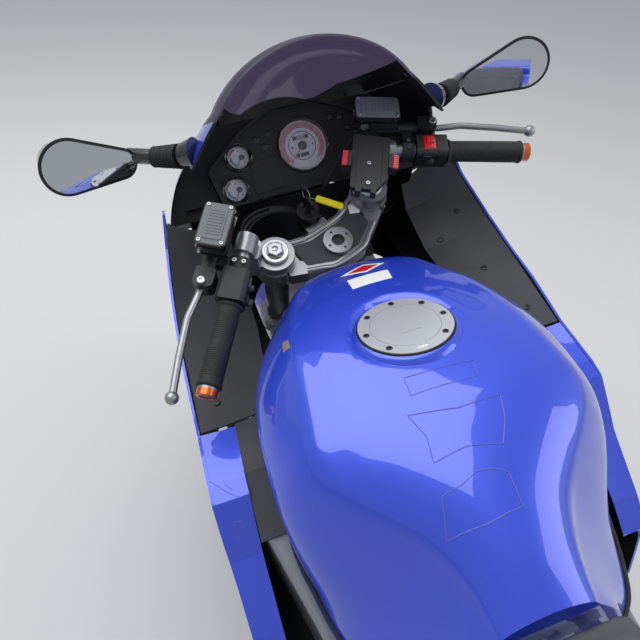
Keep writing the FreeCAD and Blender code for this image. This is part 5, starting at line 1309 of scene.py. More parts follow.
@dataclass
class ClampTrim(SubAssembly):
    """Fork caps, pinch bolts and what hangs on the top clamp.

    Attributes:
        fork_x: half the distance between the fork tubes, mm.
        fork_f: their distance ahead of the steering axis, mm.
        top: height of the tubes over the clamp, mm.
    """

    fork_x: float = 103.0
    fork_f: float = 38.0
    top: float = 28.0

    def build(self) -> None:
        """Make the caps, the bolts, the key with its ring and tag, and a blank plate."""
        fork = self.machine.fork
        spot = fork.at((self.fork_x, self.fork_f, self.top))
        crown = turned(spot, [(21.2, -1), (21.2, 3.6), (20.2, 4.8), (17.0, 4.8), (16.4, 3.0), (14.6, 3.0)],
                       40, False)
        self.show("fork_caps", both_sides(fork, crown), Look.BRUSHED)
        hexagon = np.array([(13.6 * math.cos(a), 13.6 * math.sin(a))
                            for a in np.linspace(0, 2 * math.pi, 7)[:-1]])
        adjusters = join([plate(spot, hexagon, 5.5, 11.5, 1.6),
                          turned(spot, [(5.2, 11.4), (5.2, 11.8), (4.6, 12.2)], 24)])
        self.show("preload_adjusters", both_sides(fork, adjusters), Look.STEEL)
        inner = fork.inner((self.fork_x + 10, self.fork_f - 26, -14), (0, 1, 0), (0, 0, 1))
        outer = fork.inner((self.fork_x + 31, self.fork_f + 14, 14), (0, 0, 1), (-1, 0, 0))
        bolts = [socket_screw(inner, 5.4, 6.5), socket_screw(outer, 5.0, 6.0)]
        self.show("pinch_bolts", both_sides(fork, join(bolts)), Look.STEEL)
        self.face()
        self.key()

    def face(self) -> None:
        """Dark sunk face of the clamp between its two bright rims, and the wiring loom on the left."""
        fork = self.machine.fork
        floor = rounded_outline([(-68, -2, 4), (-50, -12, 10), (-25, -25, 14), (25, -25, 14), (50, -12, 10),
                                 (68, -2, 4), (68, 44, 4), (33, 31, 12), (-33, 31, 12), (-68, 44, 4)], 5)
        self.show("clamp_floor", plate(fork, floor, 0.0, 0.5), Look.GREY, 30)
        rims = [sweep(curve([fork.point(x, f, -0.6) for x, f in line], 8), 4.6, 12) for line in
                (((-74, -9), (-52, -20.5), (-27, -33), (27, -33), (52, -20.5), (74, -9)),
                 ((-76, 54.5), (-35, 39.5), (35, 39.5), (76, 54.5)))]
        self.show("clamp_rims", rims, Look.CAST)
        loom = curve([(-122, 92, 22), (-112, 104, 28), (-93, 110, 30), (-73, 109, 30), (-52, 104, 26),
                      (-30, 98, 12), (-14, 92, -6), (-6, 88, -24)], 6)
        strands = []
        for k in range(4):
            turn = np.linspace(0, 2.2, len(loom)) + k * math.pi / 2
            spread = np.linspace(7.5, 3.2, len(loom))
            shift = np.stack([0 * turn, np.cos(turn) * spread, np.sin(turn) * spread], axis=1)
            strands.append(sweep(fork.points(loom + shift), 2.3, 10))
        strands.append(sweep(fork.points(loom[len(loom) // 2:]), 6.6, 14))
        self.show("left_loom", strands, Look.RUBBER)

    def key(self) -> None:
        """Split ring through the key's bow, a yellow tag on it and a small blank plate."""
        fork = self.machine.fork
        ring = torus(fork.inner((2, 86, 40), (0.2, 1, 0.3), (0.1, -0.3, 1)), 11.5, 1.0, 36, 8)
        self.show("key_ring", ring, Look.STEEL)
        tag = fork.inner((28, 56, 27), (28.4, -37.4, -9), (37.4, 28.4, 0))
        outline = rounded_outline([(-24, -6, 3), (24, -6, 3), (24, 6, 3), (-24, 6, 3)], 5)
        self.show("yellow_tag", plate(tag, outline, -1.6, 1.6, 0.6), Look.YELLOW, 30)
        link = curve([fork.point(6, 80, 32), fork.point(9, 78, 31), fork.point(13, 75, 30)], 6)
        self.show("tag_link", sweep(link, 0.8, 8), Look.STEEL)
        square = fork.inner((66, 33, 0.2), (1, -0.6, 0), (0.6, 1, 0))
        edge = rounded_outline([(-9, -9, 1), (9, -9, 1), (9, 9, 1), (-9, 9, 1)])
        self.show("blank_square", plate(square, edge, 0.0, 0.5, 0.2), Look.LABEL, 30)


@dataclass
class Shrouds(SubAssembly):
    """Black sheets under the inner panels' edges and beside the fork legs: painted shade that closes the gaps beside
    the steering head, which lie in shadow.

    Attributes:
        rows: y, inner x and z, outer x and z of the upper sheet, mm, from the tank forward.
        cut_out: x and y of the lower sheet's edge round the sweep of the fork, mm.
    """

    rows: tuple[tuple[float, ...], ...] = (
        (1000, 150, 742, 190, 762), (1075, 150, 740, 186, 770), (1143, 152, 742, 190, 772),
        (1223, 152, 742, 200, 776), (1300, 152, 742, 210, 778), (1360, 152, 742, 214, 778))
    cut_out: tuple[tuple[float, float], ...] = (
        (152, 1130), (152, 1211), (147, 1248), (126, 1290), (94, 1328), (60, 1384))

    def build(self) -> None:
        """Lay two sheets on each side, the lower one cut out round the sweep of the fork."""
        # Both sheets are painted shade: black sheets set where only shadow lies beside the steering head.
        line = curve(self.rows, 6)
        edge = [[(r[1], r[0], r[2]), (0.5 * (r[1] + r[3]), r[0], r[2] + 6), (r[3], r[0], r[4])] for r in line]
        self.sheet("upper_shade_sheets", edge)
        floor = [[(x, y, 702), (0.5 * (x + 216), y, 704), (216, y, 706)] for x, y in curve(self.cut_out, 8)]
        self.sheet("lower_shade_sheets", floor)

    def sheet(self, name: str, rows: Sequence[Sequence[Sequence[float]]]) -> None:
        """Show a 2 mm sheet whose upper face passes through rows of points, and its mirror image."""
        bike = self.machine.bike
        upper = np.array([bike.points(row) for row in rows])
        lower = upper - bike.z * 2.0 * MM
        skin = tube(np.concatenate([upper, lower[:, ::-1]], axis=1)).turned_out()
        self.show(name, both_sides(bike, skin), Look.BLACK, 30)


@dataclass
class PhoneHolderTrim(SubAssembly):
    """Red grip pads, the ribbed face and the screws of the phone holder.

    Attributes:
        centre: middle of its back plate in the fork's frame, mm.
        turn: its turn about the steering axis, degrees.
    """

    centre: tuple[float, float, float] = (87.0, 35.0, 100.0)
    turn: float = -47.0

    def build(self) -> None:
        """Place the pads on the jaws, and ribs and screws on the back plate."""
        a = math.radians(self.turn)
        along, across = (math.cos(a), math.sin(a), 0), (-math.sin(a), math.cos(a), 0)
        axes = self.machine.fork.inner(self.centre, along, across)
        pads = [brick(axes, (-42.5, -34.5), (-24, 4), (20, 22.4), 0.8),
                brick(axes, (36.5, 44.5), (-20, 6), (20, 22.4), 0.8)]
        ridges = [brick(axes, (x - 3, x + 3), (y - 0.8, y + 0.8), (22.4, 23.0))
                  for x, y0 in ((-38.5, -21), (40.5, -17)) for y in np.arange(y0, y0 + 22, 4.0)]
        self.show("jaw_pads", pads + ridges, Look.RED, 30)
        screws = [socket_screw(axes.at((dx, dy, 9)), 3.4, 2.2) for dx, dy in
                  ((0, -6), (1, -44))]
        self.show("holder_screws", screws, Look.STEEL)
        ribs = [brick(axes, (-20, -18.6), (-46, 36), (9, 9.8), 0.3),
                brick(axes, (19.6, 21), (-40, 36), (9, 9.8), 0.3)]
        self.show("holder_ribs", ribs, Look.RUBBER, 30)


@dataclass
class ScreenTrim(SubAssembly):
    """Black edge band along the foot of the screen and the screws that hold it.

    Attributes:
        split: y and z of the line where the screen meets the nose, mm.
        band: how far the band reaches up from that line, mm.
    """

    split: tuple[tuple[float, float], ...] = ((1168, 1098.0), (1290, 1044.0), (1410, 990.0), (1520, 925.0),
                                              (1585, 888.0))
    band: float = 30.0

    def build(self) -> None:
        """Lay the band against the inner face on both sides, line the screen's front, and put up to four screws
        through each side.
        """
        bike = self.machine.bike
        tree = tree_of(frame["nodes"]["windscreen"].data)
        ys = np.linspace(self.split[0][0] + 1, self.split[-1][0], 60)
        zs = np.interp(ys, [a for a, _ in self.split], [b for _, b in self.split])
        rows = []
        spots = []
        for y, z in zip(ys, zs):
            row = []
            for rise in np.linspace(1.0, self.band, 6):
                hit = self.inside(tree, y, z + rise)
                if hit is not None:
                    row.append(hit)
            if len(row) == 6:
                rows.append(row)
        inner = np.array(rows)
        skin = grid(inner)
        self.show("screen_band", both_sides(bike, join([skin, skin.turned_out()])), Look.BLACK, None)
        fans = []
        for y in np.linspace(1500, 1582, 16):
            fan = [self.spoke(tree, float(y), math.radians(a)) for a in np.linspace(24, 156, 45)]
            if all(p is not None for p in fan):
                fans.append(fan)
        front = grid(np.array(fans))
        self.show("screen_front_mask", join([front, front.turned_out()]), Look.BLACK, None)
        for y, rise in ((1180, 9), (1310, 9), (1420, 9), (1510, 8)):
            z = float(np.interp(y, [a for a, _ in self.split], [b for _, b in self.split])) + rise
            hit = self.inside(tree, y, z)
            if hit is not None:
                local = bike.local(hit)
                away = unit(np.array([local[0], 0.0, local[2] - 960.0]))
                spots.append(turned(bike.inner(tuple(local), (0, 1, 0), tuple(np.cross((0, 1, 0), away) * -1)),
                                    [(5.0, -2.4), (5.0, -0.6), (3.0, 0.2)], 16))
        self.show("screen_screws", both_sides(bike, join(spots)), Look.ENAMEL)

    def spoke(self, tree: BVHTree, y: float, angle: float) -> np.ndarray | None:
        """Point just inside the screen on a line that leaves the middle of section y at an angle."""
        bike = self.machine.bike
        foot = float(np.interp(y, [a for a, _ in self.split], [b for _, b in self.split])) - 14.0
        way = bike.x * math.cos(angle) + bike.z * math.sin(angle)
        hit, _, _, _ = tree.ray_cast(Vector(bike.point(0, y, foot)), Vector(way), 0.4)
        return None if hit is None else np.array(hit) - way * 0.8 * MM

    def inside(self, tree: BVHTree, y: float, z: float) -> np.ndarray | None:
        """Point just inside the screen's right-hand side, or None past its edge."""
        bike = self.machine.bike
        hit, _, _, _ = tree.ray_cast(Vector(bike.point(0, y, z)), Vector(bike.x), 0.4)
        return None if hit is None else np.array(hit) - bike.x * 0.6 * MM


@dataclass
class MirrorTrim(SubAssembly):
    """Rubber boots over the feet of the mirrors' arms."""

    def build(self) -> None:
        """Turn the ribbed boot about the arm's first straight."""
        bike = self.machine.bike
        foot, elbow = np.array((212.0, 1198.0, 1046.8)), np.array((250.0, 1232.0, 1040.0))
        way = unit(elbow - foot)
        side = unit(np.cross(way, (0, 0, 1)))
        axes = bike.inner(tuple(foot), tuple(side), tuple(np.cross(way, side)))
        length = float(np.linalg.norm(elbow - foot))
        heights = np.linspace(0, length * 0.95, 33)
        profile = [(17.5 - 3.0 * h / length + 1.3 * math.cos(h * 2 * math.pi / 7.0), h) for h in heights]
        boot = turned(axes, profile, 28)
        self.show("mirror_boots", both_sides(bike, boot), Look.RUBBER)


@dataclass
class Tyre(SubAssembly):
    """Road tyre whose tread pattern stands as curved bars on its crown.

    Attributes:
        name: piece name.
        node: the plain CAD tyre it stands for.
        axes: frame at the wheel's middle whose first axis is the axle.
        outer: radius over the tread, mm.
        crown: radius of the tread's section, mm.
        half: half the section's width, mm.
        rim_half: half the rim's width, mm.
        reach: how far the tread reaches round the section from its middle, mm.
        pitches: repeats of the tread round the tyre.
        bead: radius at the bead, mm.
        flange: height of the rim's flange over it, mm.
        rise: height of the bars, mm.
        pattern: each bar's inner and outer end as shares of reach, its phase, slope, bend and half width, mm.
    """

    name: str
    node: str
    axes: Axes
    outer: float
    crown: float
    half: float
    rim_half: float
    reach: float
    pitches: int
    bead: float = 218.0
    flange: float = 9.0
    rise: float = 4.2
    pattern: tuple[tuple[float, ...], ...] = ((0.08, 0.72, 0.0, 1.25, -0.006, 3.4),
                                              (0.3, 0.98, 0.5, 0.7, -0.004, 2.8))

    def build(self) -> None:
        """Sweep the section round the axle, each tread point raised by the bar that passes there."""
        section, travel = self.section()
        steps = self.pitches * 34
        angles = np.linspace(0, 2 * math.pi, steps, endpoint=False)
        height = self.bars(angles[:, None], travel[None, :])
        inward = np.gradient(section, axis=0)
        inward = np.stack([-inward[:, 1], inward[:, 0]], 1)
        inward /= np.linalg.norm(inward, axis=1)[:, None]
        skin = section[None] - inward[None] * height[..., None]
        table = np.stack([skin[..., 0], skin[..., 1] * np.cos(angles)[:, None],
                          skin[..., 1] * np.sin(angles)[:, None]], -1)
        closed = grid(self.axes.points(table), wrap_u=True, wrap_v=True).turned_out()
        self.show(self.name, closed, Look.TYRE, 40, (self.node,))

    def section(self) -> tuple[np.ndarray, np.ndarray]:
        """Closed section as rows of x and radius, and each point's travel from the tread's middle."""
        core = self.outer - self.crown
        most = math.asin(min(1.0, self.half / self.crown))
        count = int(self.crown * most * 2 / 3.4)
        t = np.linspace(-most, most, count)
        tread = np.stack([self.crown * np.sin(t), core + self.crown * np.cos(t)], 1)
        shoulder = tread[-1]
        foot = np.array([self.rim_half, self.bead + self.flange + 2])
        bulge = (shoulder + foot) / 2 + np.array([4.0, 0.0])
        k = np.linspace(0, 1, 9)[1:, None]
        wall = (1 - k) ** 2 * shoulder + 2 * k * (1 - k) * (bulge + np.array([4.0, 2.0])) + k ** 2 * foot
        inner = np.array([(self.rim_half, self.bead), (self.rim_half - 12, self.bead),
                          (self.half - 15, (self.bead + core) / 2), (self.half * 0.7, core + self.crown * 0.35),
                          (0.0, self.outer - 15)])
        right = np.concatenate([tread, wall, inner])
        left = np.concatenate([wall, inner[:-1]])[::-1] * np.array([-1, 1])
        section = np.concatenate([right, left])
        travel = np.full(len(section), OFF_TREAD)
        travel[:count] = self.crown * t
        return section[::-1], travel[::-1]

    def bars(self, angle: np.ndarray, travel: np.ndarray) -> np.ndarray:
        """Height of the tread pattern in mm at an angle round the tyre and a travel across it.

        A bar's middle lies at angle = start + (slope u + bend u^2) / outer, with u = |travel| - its inner end. Its
        height falls off over its half width, and near its ends.
        """
        height = np.zeros(np.broadcast(angle, travel).shape)
        across = np.abs(travel)
        pitch = 2 * math.pi / self.pitches
        for low, high, phase, slope, bend, half in self.pattern:
            a, b = low * self.reach, high * self.reach
            u = across - a
            for side in (1, -1):
                start = phase * pitch + (pitch / 2 if side < 0 else 0)
                middle = start + (slope * u + bend * u * u) / self.outer
                off = (angle - middle + pitch / 2) % pitch - pitch / 2
                gap = np.abs(off) * self.outer / math.sqrt(1 + slope * slope)
                share = np.clip((half + 0.8 - gap) / 1.6, 0, 1)
                ends = np.clip(u / 3.0, 0, 1) * np.clip((b - across) / 3.0, 0, 1)
                height = np.maximum(height, self.rise * share * ends * (travel * side > 0))
        return np.where(across < OFF_TREAD, height, 0.0)


@dataclass
class ChainDrive(SubAssembly):
    """Roller chain: alternating inner and outer plates, rollers and riveted pins.

    Attributes:
        x: middle of the chain across the machine, mm.
        pitch: distance between pins, mm.
        rear: y, z and pitch radius of the rear sprocket, mm.
        front: y, z and pitch radius of the front sprocket, mm.
    """

    x: float = -108.0
    pitch: float = 15.875
    rear: tuple[float, float, float] = (0.0, 315.0, 108.75)
    front: tuple[float, float, float] = (645.0, 352.0, 43.2)

    def build(self) -> None:
        """Set a link between each two pins on the pitch line."""
        pins = self.pins()
        count = len(pins)
        plates, rollers = [], []
        for i, (p, q) in enumerate(zip(pins, np.roll(pins, -1, 0))):
            link = self.machine.bike.inner((self.x, *p), (0, *(q - p)), (0, -(q - p)[1], (q - p)[0]))
            gap = float(np.linalg.norm(q - p))
            inner = i % 2 == 0 and i != count - 1
            low = 3.3 if inner else 5.0
            outline = self.outline(gap)
            for side in (1, -1):
                levels = sorted((side * low, side * (low + 1.5)))
                plates.append(plate(link, outline, levels[0], levels[1]))
            rollers.append(turned(link, [(4.9, -3.2), (4.9, 3.2)], 10))
            rollers.append(turned(link, [(2.6, -6.0), (2.6, 6.0)], 8))
        self.show("chain_plates", plates, Look.CHAIN, 40, ("chain",))
        self.show("chain_rollers", rollers, Look.STEEL, 40)

    def outline(self, gap: float) -> np.ndarray:
        """Figure-of-eight outline of a plate between pins gap apart, mm."""
        big, waist = 7.0, 5.2
        left = [(big * math.cos(a), big * math.sin(a)) for a in np.radians((120, 160, 200, 240))]
        right = [(gap + big * math.cos(a), big * math.sin(a)) for a in np.radians((-60, -20, 20, 60))]
        return np.array(left + [(gap / 2, -waist)] + right + [(gap / 2, waist)])

    def pins(self) -> np.ndarray:
        """Places of the pins, evenly along two arcs and two tangents."""
        (y1, z1, r1), (y2, z2, r2) = self.rear, self.front
        span = np.array([y2 - y1, z2 - z1])
        length = float(np.linalg.norm(span))
        along = span / length
        across = np.array([-along[1], along[0]])
        upper = math.acos((r1 - r2) / length)
        points = []
        for angle in np.linspace(upper, -upper, 90):
            points.append(np.array([y2, z2]) + (along * math.cos(angle) + across * math.sin(angle)) * r2)
        for angle in np.linspace(-upper, upper - 2 * math.pi, 260):
            points.append(np.array([y1, z1]) + (along * math.cos(angle) + across * math.sin(angle)) * r1)
        line = np.array(points + points[:1])
        run = np.concatenate([[0], np.cumsum(np.linalg.norm(np.diff(line, axis=0), axis=1))])
        links = 2 * round(run[-1] / self.pitch / 2)
        at = np.arange(links) * run[-1] / links
        return np.stack([np.interp(at, run, line[:, 0]), np.interp(at, run, line[:, 1])], 1)


@dataclass
class Seat(SubAssembly):
    """Vinyl seat pad, swollen over its foam by a short pressure simulation.

    Attributes:
        voxel: cell of the remeshed skin, mm.
        shrink: how far the skin starts inside the pad's space, mm.
        cap: how far a point may move, mm.
        frames: steps of the simulation.
    """

    voxel: float = 6.0
    shrink: float = 4.0
    cap: float = 6.0
    frames: int = 20

    def build(self) -> None:
        """Remesh the pad, swell it and give it one level of subdivision."""
        obj = self.skin()
        start = self.coordinates(obj.data)
        self.swell(obj, start)
        fine = obj.modifiers.new("finer_skin", "SUBSURF")
        fine.levels = fine.render_levels = 1
        obj.data.shade_smooth()
        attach(obj, self.body)
        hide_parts("seat")
        LOG.info("seat_cover: %d faces before its subdivision", len(obj.data.polygons))

    def skin(self) -> bpy.types.Object:
        """Even quads over the pad's CAD solid, drawn in a little."""
        mesh = frame["nodes"]["seat"].data.copy()
        mesh.name = "seat_cover"
        mesh.materials.clear()
        mesh.materials.append(Look.VINYL.get())
        obj = bpy.data.objects.new("seat_cover", mesh)
        bpy.context.scene.collection.objects.link(obj)
        weld = obj.modifiers.new("weld", "WELD")
        weld.merge_threshold = 1e-5
        remesh = obj.modifiers.new("remesh", "REMESH")
        remesh.mode = "VOXEL"
        remesh.voxel_size = self.voxel * MM
        smooth = obj.modifiers.new("smooth", "SMOOTH")
        smooth.factor, smooth.iterations = 0.5, 4
        graph = bpy.context.evaluated_depsgraph_get()
        even = bpy.data.meshes.new_from_object(obj.evaluated_get(graph))
        obj.modifiers.clear()
        obj.data = even
        even.name = "seat_cover"
        normals = np.empty(len(even.vertices) * 3)
        even.vertices.foreach_get("normal", normals)
        self.put(even, self.coordinates(even) - normals.reshape(-1, 3) * self.shrink * MM)
        return obj

    def coordinates(self, mesh: bpy.types.Mesh) -> np.ndarray:
        """Vertices as rows of three."""
        flat = np.empty(len(mesh.vertices) * 3)
        mesh.vertices.foreach_get("co", flat)
        return flat.reshape(-1, 3)

    def put(self, mesh: bpy.types.Mesh, points: np.ndarray) -> None:
        """Set a mesh's vertices."""
        mesh.vertices.foreach_set("co", points.ravel())
        mesh.update()

    def swell(self, obj: bpy.types.Object, start: np.ndarray) -> None:
        """Blow the skin up with cloth pressure and keep each point within the cap of where it started."""
        scene = bpy.context.scene
        cloth = obj.modifiers.new("Cloth", "CLOTH")
        cloth.settings.use_pressure = True
        cloth.settings.uniform_pressure_force = 4.0
        cloth.settings.effector_weights.gravity = 0.0
        cloth.point_cache.frame_end = self.frames + 1
        for step in range(1, self.frames + 1):
            scene.frame_set(step)
        graph = bpy.context.evaluated_depsgraph_get()
        moved = self.coordinates(obj.evaluated_get(graph).data)
        obj.modifiers.remove(cloth)
        scene.frame_set(1)
        away = moved - start
        length = np.linalg.norm(away, axis=1)[:, None]
        self.put(obj.data, start + away * np.minimum(1.0, self.cap * MM / np.maximum(length, 1e-9)))


@dataclass
class BrakeTrim(SubAssembly):
    """Buttons that carry the front discs on their carriers.

    Attributes:
        centre: middle of the front wheel in the fork's frame, mm.
    """

    centre: tuple[float, float, float] = (0.0, 38.0, -642.9)

    def build(self) -> None:
        """Ten buttons round each disc's inner edge."""
        fork = self.machine.fork
        buttons = []
        for i in range(10):
            a = math.radians(36 * i)
            for x in (62.0 + 2.5, 62.0 - 2.5):
                out = 1 if x > 62 else -1
                spot = fork.inner((x, self.centre[1] + 123 * math.cos(a), self.centre[2] + 123 * math.sin(a)),
                                  (0, 1, 0), (0, 0, out))
                profile = [(6.4, 0), (6.4, 1.2), (4.4, 1.6), (4.0, 0.6), (0.01, 0.6)]
                buttons.append(turned(spot, profile, 16, False))
        self.show("disc_buttons", both_sides(fork, join(buttons)), Look.BRUSHED)


@dataclass
class EngineTrim(SubAssembly):
    """Cover bolts, the oil filler and the radiator's fins."""

    def build(self) -> None:
        """Bolt both round covers, and lay the fin pack over the radiator's face."""
        bike = self.machine.bike
        clutch = bike.inner((186, 760, 365), (0, 1, 0), (0, 0, 1))
        generator = bike.inner((-186, 900, 355), (0, -1, 0), (0, 0, 1))
        for name, axes, r, count in (("clutch_cover", clutch, 82, 9), ("generator_cover", generator, 72, 8)):
            dome = turned(axes, [(r - 14, 0), (r - 18, 5), (r - 26, 8), (r * 0.42, 10), (r * 0.36, 7),
                                 (0.01, 7)], 48)
            self.show(name + "_dome", dome, Look.ENGINE)
            bolts = []
            for i in range(count):
                a = 2 * math.pi * (i + 0.5) / count
                spot = axes.at(((r - 7) * math.cos(a), (r - 7) * math.sin(a), 0))
                bolts.append(socket_screw(spot, 4.6, 5.0))
            self.show(name + "_bolts", bolts, Look.STEEL)
        cap = clutch.at((66, 58, -4))
        plug = turned(cap, [(15, -20), (15, 2), (13, 4), (5, 4.4), (4.6, 8), (0.01, 8)], 24)
        self.show("oil_filler", plug, Look.ENAMEL)
        core = bike.inner((0, 1128, 410), (1, 0, 0), (0, 18 / 227, 209 / 227))
        fins = [brick(core, (-149, 149), (k, k + 0.5), (-13.4, 13.0)) for k in np.arange(4, 222, 4.0)]
        tubes = [brick(core, (-149, 149), (k, k + 2.2), (-13.8, 13.4)) for k in np.arange(8, 222, 12.0)]
        self.show("radiator_fins", fins, Look.GREY, None)
        self.show("radiator_tubes", tubes, Look.ENAMEL, None)


@dataclass
class ExhaustTrim(SubAssembly):
    """End cap, rivets and strap of the silencer, and clamps on the pipes.

    Attributes:
        start: inlet of the silencer, mm.
        way: its direction there.
    """

    start: tuple[float, float, float] = (225.0, 400.0, 296.0)
    way: tuple[float, float, float] = (10.0, -430.0, 106.0)

    def build(self) -> None:
        """Turn the bands about the silencer's line and ring the end cap with rivets."""
        way = unit(np.array(self.way))
        side = unit(np.cross(way, (0, 0, 1)))
        axes = self.machine.bike.inner(self.start, tuple(side), tuple(np.cross(way, side)))
        bands = [turned(axes, [(58.2, h), (59.4, h + 1), (59.4, h + 13), (58.2, h + 14)], 56, ends=False)
                 for h in (48, 462)]
        self.show("silencer_bands", bands, Look.BRUSHED)
        rivets = []
        for h in (55, 469):
            for i in range(12):
                a = 2 * math.pi * i / 12
                out = (math.cos(a), math.sin(a), 0)
                spot = axes.inner((59.3 * out[0], 59.3 * out[1], h), (-out[1], out[0], 0), (0, 0, 1))
                rivets.append(turned(spot, [(2.6, 0), (2.4, 0.9), (1.2, 1.6), (0.01, 1.7)], 10, ends=False))
        self.show("silencer_rivets", [r.turned_out() if self.inside(r) else r for r in rivets], Look.STEEL)
        strap = turned(axes, [(58.4, 262), (60.6, 263), (60.6, 285), (58.4, 286)], 56, ends=False)
        self.show("silencer_strap", strap, Look.ENAMEL)
        mouth = turned(axes, [(20.6, 483), (20.6, 550)], 32, ends=False).turned_out()
        self.show("tailpipe_bore", mouth, Look.INK)
        joint = turned(axes, [(31, -6), (33, -4), (33, 10), (31, 12)], 36, ends=False)
        self.show("pipe_clamp", joint, Look.STEEL)

    @staticmethod
    def inside(shape: Shape) -> bool:
        """Whether a small cap's faces look toward the silencer's line."""
        first = shape.faces[0]
        a, b, c = (shape.verts[i] for i in first[:3])
        normal = np.cross(b - a, c - a)
        middle = shape.verts[list(first)].mean(0)
        hub = shape.verts.mean(0)
        return bool(normal @ (middle - hub) < 0)


@dataclass
class LampTrim(SubAssembly):
    """Reflectors behind the headlamp's lens, ribs of the tail lens and the indicators' caps."""

    def build(self) -> None:
        """Make the twin bowls with their bulbs, the tail lens ribs and amber caps."""
        bike = self.machine.bike
        bowls, bulbs, trims = [], [], []
        ahead = bike.inner((64, 1541, 808), (1, 0, 0), (0, 0, 1))
        out = ahead.inner((0, 0, 0), (-1, 0, 0), (0, 1, 0))
        bowls.append(turned(out, [(25, 2.0), (21, -0.2), (12, -1.0), (0.01, -1.2)], 36, ends=False))
        trims.append(turned(out, [(28, 0.3), (28, 4.0), (25, 4.4), (25, 1.9)], 36, ends=False))
        bulbs.append(turned(out, [(7, -1.0), (7, 6), (5, 8), (0.01, 8.6)], 18, ends=False))
        self.show("headlamp_bowls", both_sides(bike, join(bowls)), Look.MIRROR)
        self.show("headlamp_bezels", both_sides(bike, join(trims)), Look.BRUSHED)
        self.show("headlamp_bulbs", both_sides(bike, join(bulbs)), Look.LENS)
        tail = bike.inner((0, -366, 829), (-1, 0, 0), (0, 0, 1))
        ribs = [brick(tail, (x, x + 1.6), (-17, 17), (0, 1.4), 0.5) for x in np.arange(-48, 47, 6.0)]
        self.show("tail_lens_ribs", ribs, Look.RED_LENS, 30)
        end = bike.inner((108, -314, 742), (0, 1, 0), (0, 0, 1))
        cap = turned(end, [(16.4, 0), (17, 3), (17, 34), (14, 38), (0.01, 38.4)], 28)
        self.show("indicator_lenses", both_sides(bike, cap), Look.AMBER)


@dataclass
class PanelTrim(SubAssembly):
    """Fasteners and seams of the side panels, the tail and the inner panels."""

    def build(self) -> None:
        """Put quarter-turn screws where panels meet and a dark line where two panels join."""
        bike = self.machine.bike
        skin = {node: tree_of(frame["nodes"][node].data)
                for node in ("fairing_right", "inner_panels", "tail_cowl", "nose_cowl")}
        heads = []
        for node, places in (
                ("fairing_right", ((1250, 800), (1285, 640), (1180, 470), (700, 500), (690, 300), (900, 200),
                                   (900, 640))),
                ("tail_cowl", ((360, 715), (60, 770))), ("nose_cowl", ((1340, 880), (1440, 830)))):
            heads += [self.screw(skin[node], (BESIDE, y, z), (-1, 0, 0), 6.2) for y, z in places]
        for x, y in ((246, 1180), (238, 1060), (262, 960), (200, 1150)):
            heads.append(self.screw(skin["inner_panels"], (x, y, ABOVE_PANELS), (0, 0, -1), 5.0))
        self.show("panel_screws", both_sides(bike, join([h for h in heads if h])), Look.ENAMEL)
        seams = []
        for points in (((700, 470), (860, 452), (1010, 418)), ((1130, 432), (1230, 470), (1330, 500))):
            path = []
            for y, z in curve(points, 10):
                start = Vector(bike.point(BESIDE, y, z))
                hit = skin["fairing_right"].ray_cast(start, Vector(-bike.x), 0.5)[0]
                if hit is not None:
                    path.append(np.array(hit) + bike.x * 0.1 * MM)
            seams.append(sweep(np.array(path), 0.9, 6))
        self.show("panel_seams", both_sides(bike, join(seams)), Look.INK)
        self.scratches()

    def scratches(self) -> None:
        """Fine pale scratches through the lacquer on top of the left side panel."""
        bike = self.machine.bike
        tree = tree_of(frame["nodes"]["fairing_left"].data)
        marks = []
        for line in (((-299, 848), (-292, 840), (-283, 830), (-270, 818), (-266, 818)),
                     ((-281, 838), (-272, 828)),
                     ((-281, 797), (-272, 796), (-274, 787), (-275, 777)),
                     ((-281, 797), (-284, 789), (-281, 778))):
            path = []
            for p, q in zip(line, line[1:]):
                for t in np.linspace(0, 1, 7)[: 7 if q == line[-1] else 6]:
                    x, y = np.array(p) + (np.array(q) - np.array(p)) * t
                    hit, _, _, _ = tree.ray_cast(Vector(bike.point(x, y, OVERHEAD)), Vector(-bike.z), 0.8)
                    path.append(np.array(hit) - bike.z * 0.15 * MM)
            marks.append(sweep(np.array(path), 0.55, 6))
        self.show("panel_scratches", marks, Look.FILM_EDGE)

    def screw(self, tree: BVHTree, start: tuple[float, float, float], way: tuple[float, float, float],
              r: float) -> Shape | None:
        """Button screw seated on the first face met from a start along a direction of the bike's frame."""
        bike = self.machine.bike
        turn = np.array([bike.x, bike.y, bike.z])
        ray = Vector(np.array(way, float) @ turn)
        hit, normal, _, _ = tree.ray_cast(Vector(bike.point(*start)), ray, 1.0)
        if hit is None:
            return None
        local = bike.local(np.array(hit))
        n = np.array(normal) @ turn.T
        n = n if n @ np.array(way, float) < 0 else -n
        side = unit(np.cross(n, (0.1, 1, 0.2)))
        return socket_screw(bike.inner(tuple(local), tuple(side), tuple(np.cross(n, side))), r, 2.2)


@dataclass
class RearTrim(SubAssembly):
    """Bolts of the rear disc and of the sprocket, turning with the rear wheel."""

    def build(self) -> None:
        """Ring both with their fasteners."""
        bike = self.machine.bike
        bolts = []
        for count, x, r, size, way in ((5, 88 + 2.5, 40, 5.0, 1), (6, -112, 42, 6.0, -1)):
            for i in range(count):
                a = 2 * math.pi * i / count + 0.3
                spot = bike.inner((x, r * math.cos(a), 315 + r * math.sin(a)), (0, way, 0), (0, 0, 1))
                bolts.append(socket_screw(spot, size, 4.5))
        self.show("rear_wheel_bolts", bolts, Look.STEEL)


